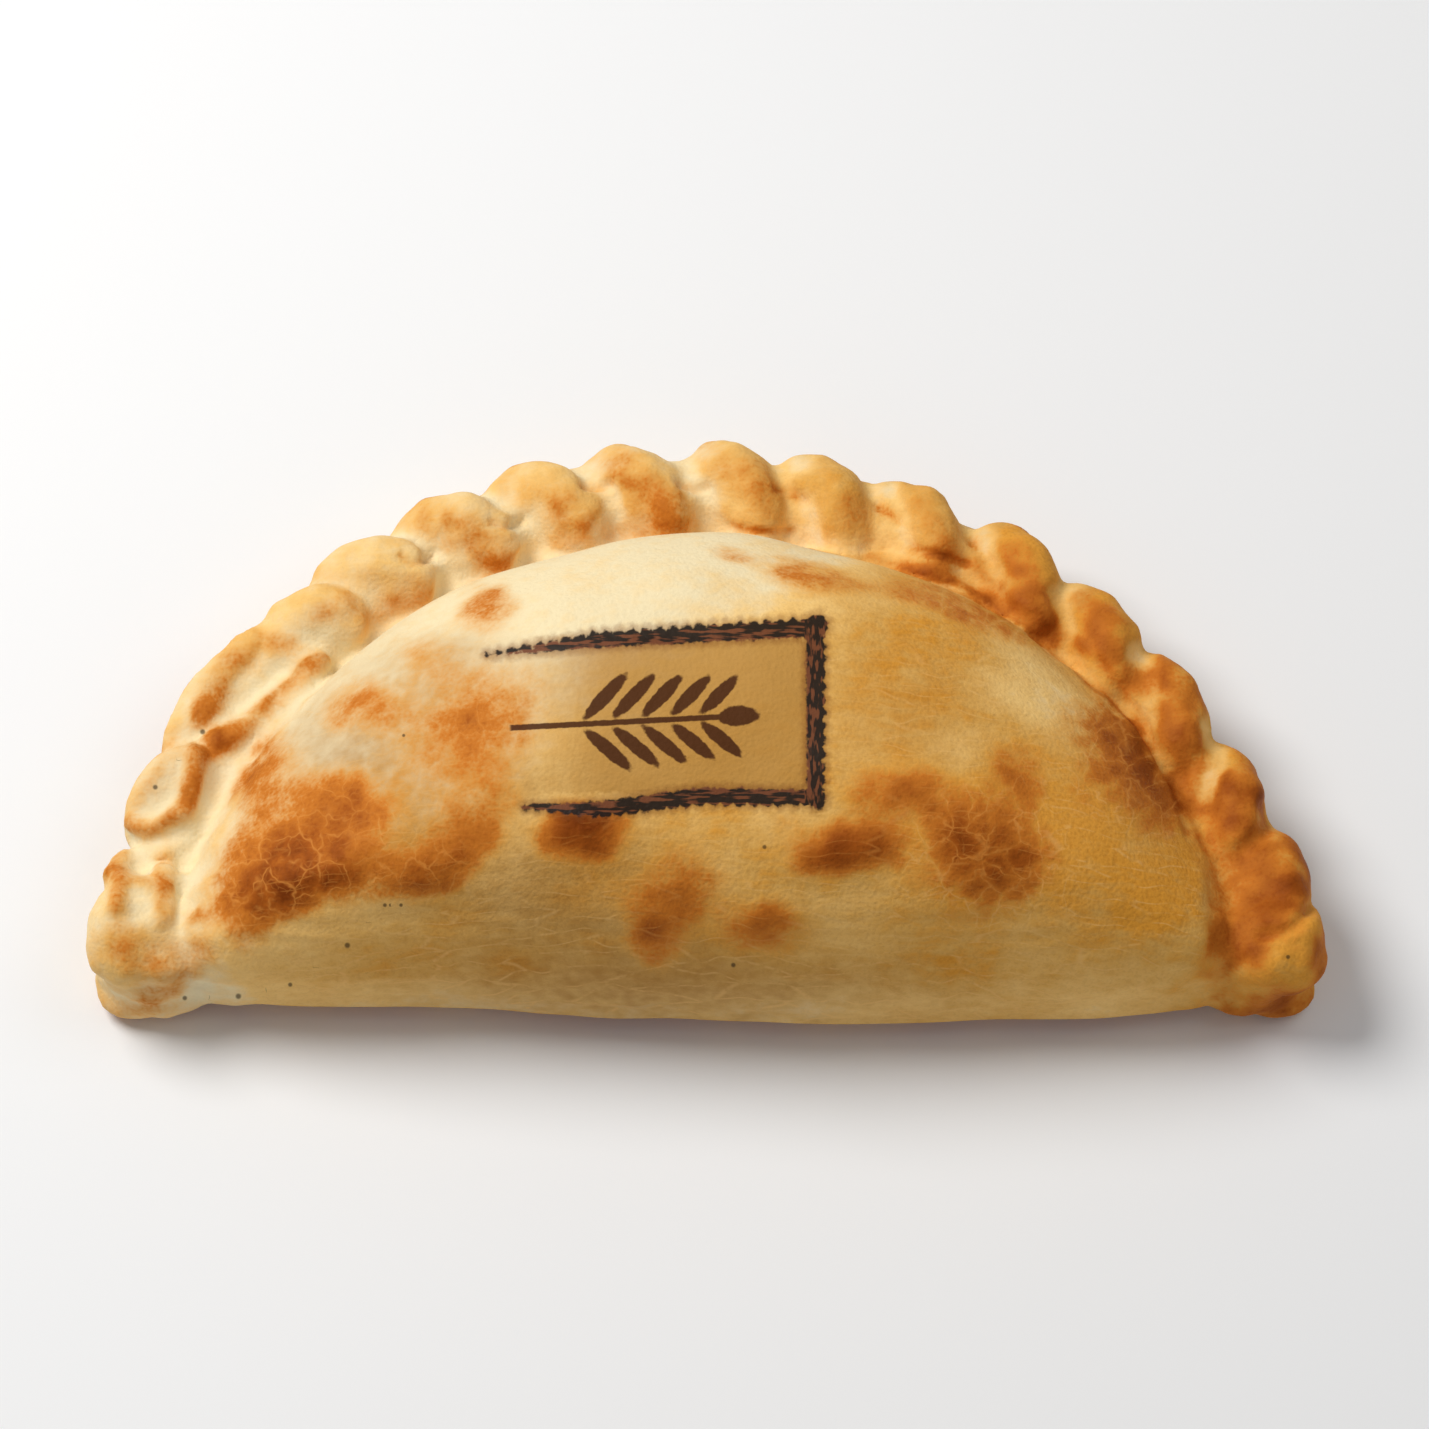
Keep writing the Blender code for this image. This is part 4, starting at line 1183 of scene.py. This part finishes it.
@dataclass(frozen=True)
class CrustFinish:
    """Baked dough: pale skin, toasted blisters, cracks, grain and the scorched frame, with painted shade in
    the creases and low on the front.

    All sizes are in millimetres in the picture, or at the object for the grains.
    """

    ear: WheatEar = WheatEar()
    patch_left: float = -24.0
    patch_right: float = 12.0
    patch_bottom: float = 24.6
    patch_top: float = 42.4
    corner: float = 11.0
    bead_pitch: float = 1.5
    fine_size: float = 0.45
    mottle_size: float = 1.8
    fibre_size: float = 0.7
    bend: float = 2.6
    net_size: float = 3.0
    small_net_size: float = 1.3
    wrinkle_pitch: float = 1.5
    ragged_size: float = 0.7
    streak_size: float = 0.45
    skin_tones: tuple[tuple[float, Tone], ...] = (
        (0.0, Tone.CREAM), (0.4, Tone.STRAW), (0.8, Tone.TAN), (1.0, Tone.HONEY))
    toast_tones: tuple[tuple[float, Tone], ...] = (
        (0.0, Tone.TAN), (0.24, Tone.GOLD), (0.46, Tone.AMBER), (0.72, Tone.BROWN), (1.0, Tone.DARK))

    def patch(self, right: Signal, above: Signal, ragged: Signal) -> Signal:
        """The smooth tan patch inside the frame, which fades out to the left."""
        left = (right + ragged * 2.0).rise(self.patch_left, self.patch_left + 14.0)
        height = above + ragged
        rows = height.rise(self.patch_bottom - 0.4, self.patch_bottom + 0.6)
        rows = rows * height.fall(self.patch_top - 0.6, self.patch_top + 0.4)
        return left * (right + ragged).fall(self.patch_right - 0.6, self.patch_right + 0.4) * rows

    def lines(self, bench: Bench, bent: object, arched: object, mottle: Signal) -> tuple[Signal, Signal]:
        """Pale hairlines in the skin.

        Returns:
            How much of a line lies here, from the network in the cracked skin and the
            long wrinkles over the belly, and how far inside its cell of the network a
            place lies, around 0.
        """
        cracked = bench.attribute("cracked")
        coarse, small = bench.cracks(bent, self.net_size), bench.cracks(bent, self.small_net_size)
        net = coarse.fall(0.0, 0.065) * mottle.rise(0.34, 0.56)
        net = net.highest(small.fall(0.0, 0.10) * mottle.rise(0.42, 0.62) * 0.45)
        wrinkles = bench.cracks(arched, self.wrinkle_pitch).fall(0.0, 0.08) * mottle.rise(0.40, 0.62)
        found = (net * cracked.rise(0.02, 0.6)).highest(wrinkles * bench.attribute("wrinkled") * 0.85)
        return found, (coarse.rise(0.02, 0.35) - 0.5) * cracked

    def crust(self, bench: Bench, picture: object, fine: Signal, mottle: Signal) -> tuple[Socket, Signal]:
        """The colour of the baked skin, and how toasted it is."""
        right, above = bench.parts(picture)
        # toast holds painted shade in the creases besides the baking, and the dull share is partly painted
        # shade low on the front.
        toast, warmth, dull = (bench.attribute(name) for name in ("toast", "warmth", "dull"))
        wander = bench.noise(picture, self.bend, 2.0).outputs["Color"]
        bent = bench.vector("ADD", picture, bench.scaled(wander, self.bend))
        height = above + right * right * 0.0015 + bench.grain(picture, 5.0, 1.0) * 1.6
        arched = bench.node("CombineXYZ", {}, {0: right * 0.15, 1: height}).outputs[0]
        fibre = bench.grain(arched, self.fibre_size, 2.0)
        tint = warmth * 0.8 + (mottle - 0.5) * 0.4 + (fibre - 0.5) * (warmth * 0.14 + 0.08)
        # The dull tone laid over the skin here is partly painted shade low on the front.
        skin = bench.mix(dull * (mottle * 1.2 + 0.4), bench.ramp(tint, self.skin_tones), Tone.DULL_AND_SHADE)
        uneven = (mottle - 0.5) * 0.34 + (fine - 0.5) * 0.30
        lines, cell = self.lines(bench, bent, arched, mottle)
        amount = toast + uneven * (toast.rise(0.0, 0.5) * 0.62 + 0.14) + cell * 0.15
        colour = bench.mix(amount.rise(0.0, 0.50), skin, bench.ramp(amount, self.toast_tones))
        pores = fine.fall(0.32, 0.56) * (warmth * 0.15 + 0.06)
        colour = bench.mix(pores, colour, Tone.PORE, "MULTIPLY")
        line = bench.mix(amount.rise(0.1, 0.6), Tone.CRACK, Tone.SEAM)
        return bench.mix(lines * 0.45, colour, line), amount

    def burned(self, bench: Bench, picture: object, colour: Socket) -> tuple[Socket, Signal]:
        """The frame, the ear and the specks over a colour, and how charred the skin is."""
        right, above = bench.parts(picture)
        seen = bench.attribute("seen")
        ragged = (bench.grain(picture, self.ragged_size, 2.0) - 0.5) * 1.2
        patch = self.patch(right, above, ragged)
        ear = self.ear.cover(bench, picture, ragged * 0.25)
        side = right.rise(self.corner - 0.1, self.corner + 0.1)
        level = 1.0 - side
        turns = math.pi / self.bead_pitch
        beads = abs((right * turns).sine()) * level + abs((above * turns).sine()) * side
        lying, upright = (bench.grain(bench.vector("MULTIPLY", picture, squeeze), self.streak_size, 1.0)
                          for squeeze in ((0.18, 1.0, 1.0), (1.0, 0.3, 1.0)))
        outer = bench.attribute("frame_out")
        gap = bench.attribute("frame_gap") + ragged * 0.6 - beads * outer.rise(-0.2, 0.5) * 0.34 + 0.08
        burnt = gap.fall(-0.15, 0.15)
        brown = lying * level + upright * side - outer * 0.10 + ragged * 0.12
        scorch = bench.mix(brown.rise(0.47, 0.63), Tone.CHAR, Tone.SCORCH)
        speck = Signal(bench, bench.vector("LENGTH", bench.attribute_vector("speck"), output="Value"))
        layers = (
            (patch * 0.85, Tone.PATCH),
            (ear * 0.94, Tone.EAR),
            (gap.fall(0.0, 1.0) * 0.5, Tone.HALO),
            (burnt * 0.97, scorch),
            (speck.fall(0.5, 1.25) * 0.75, Tone.SPECK),
        )
        for amount, tone in layers:
            colour = bench.mix(amount * seen, colour, tone)
        return colour, burnt * seen

    def build(self) -> bpy.types.Material:
        """Make the material."""
        bench = Bench("baked_crust")
        here = bench.scaled(bench.node("TexCoord", {}, {}).outputs["Object"], 1.0 / MM)
        picture = bench.attribute_vector("picture")
        fine = bench.grain(here, self.fine_size, 1.0, 0.6, "3D")
        mottle = bench.grain(here, self.mottle_size, 2.0, 0.6, "3D")
        colour, toasted = self.crust(bench, picture, fine, mottle)
        colour, burnt = self.burned(bench, picture, colour)
        height = (fine - 0.5) * 0.06 + (mottle - 0.5) * 0.14
        bump = bench.node("Bump", {}, {"Height": height, "Distance": MM, "Strength": 1.0})
        bench.finish({
            "Base Color": colour,
            "Normal": bump.outputs["Normal"],
            "Roughness": 0.68 - toasted.rise(0.1, 0.8) * 0.10 + (fine - 0.5) * 0.1 - burnt * 0.2,
            "Specular IOR Level": 0.06,
            "Coat Weight": burnt * 0.4,
            "Coat Roughness": 0.35,
        })
        return bench.material


@dataclass(frozen=True)
class SoftLight:
    """One soft lamp, aimed at the object's middle."""

    name: str
    place: Place
    size: float
    power: float
    tint: tuple[float, float, float]

    def build(self) -> None:
        """Add the lamp."""
        data = bpy.data.lights.new(self.name, "AREA")
        data.shape = "DISK"
        data.size = self.size
        data.energy = self.power
        data.color = self.tint
        lamp = add_object(self.name, data)
        lamp.location = self.place
        direction = -np.array(self.place)
        yaw = math.atan2(direction[1], direction[0]) - 0.5 * math.pi
        pitch = math.atan2(math.hypot(direction[0], direction[1]), -direction[2])
        lamp.rotation_euler = (pitch, 0.0, yaw)


@dataclass(frozen=True)
class Studio:
    """A pale table, soft light from the upper left, and a white sky."""

    table_size: float = 3.0
    table_level: float = -0.2 * MM
    sky: float = 0.25
    lights: tuple[SoftLight, ...] = (
        SoftLight("key", (-0.34, 0.18, 0.52), 0.36, 3.6, (1.0, 0.98, 0.95)),
        SoftLight("fill", (0.40, 0.10, 0.60), 0.50, 0.7, (1.0, 0.99, 0.98)),
        SoftLight("front", (0.24, -0.52, 0.22), 0.40, 0.13, (1.0, 0.99, 0.97)),
    )

    def build(self) -> None:
        """Add table, lights and sky."""
        half = 0.5 * self.table_size
        mesh = bpy.data.meshes.new("table")
        corners = [(-half, -half, 0.0), (half, -half, 0.0), (half, half, 0.0), (-half, half, 0.0)]
        mesh.from_pydata(corners, [], [(0, 1, 2, 3)])
        table = add_object("table", mesh)
        table.location.z = self.table_level
        bench = Bench("table_white")
        bench.finish({"Base Color": (0.86, 0.87, 0.885, 1.0), "Roughness": 0.9})
        mesh.materials.append(bench.material)
        for light in self.lights:
            light.build()
        world = bpy.data.worlds.new("sky")
        world.use_nodes = True
        background = world.node_tree.nodes["Background"]
        background.inputs["Color"].default_value = (1.0, 1.0, 1.0, 1.0)
        background.inputs["Strength"].default_value = self.sky
        bpy.context.scene.world = world
        bpy.context.scene.view_settings.view_transform = "Standard"
        bpy.context.scene.view_settings.look = "None"


def main() -> None:
    """Build the view, the studio and the dough."""
    view = PhotoView()
    view.build()
    log.info("camera set")
    Studio().build()
    log.info("studio set")
    dough = Dough(Rim(), Pocket(), view)
    dough.shape()
    dough.dress(CrustFinish().build())
    log.info("dough: %d points", len(dough.piece.data.vertices))


if __name__ == "__main__":
    main()
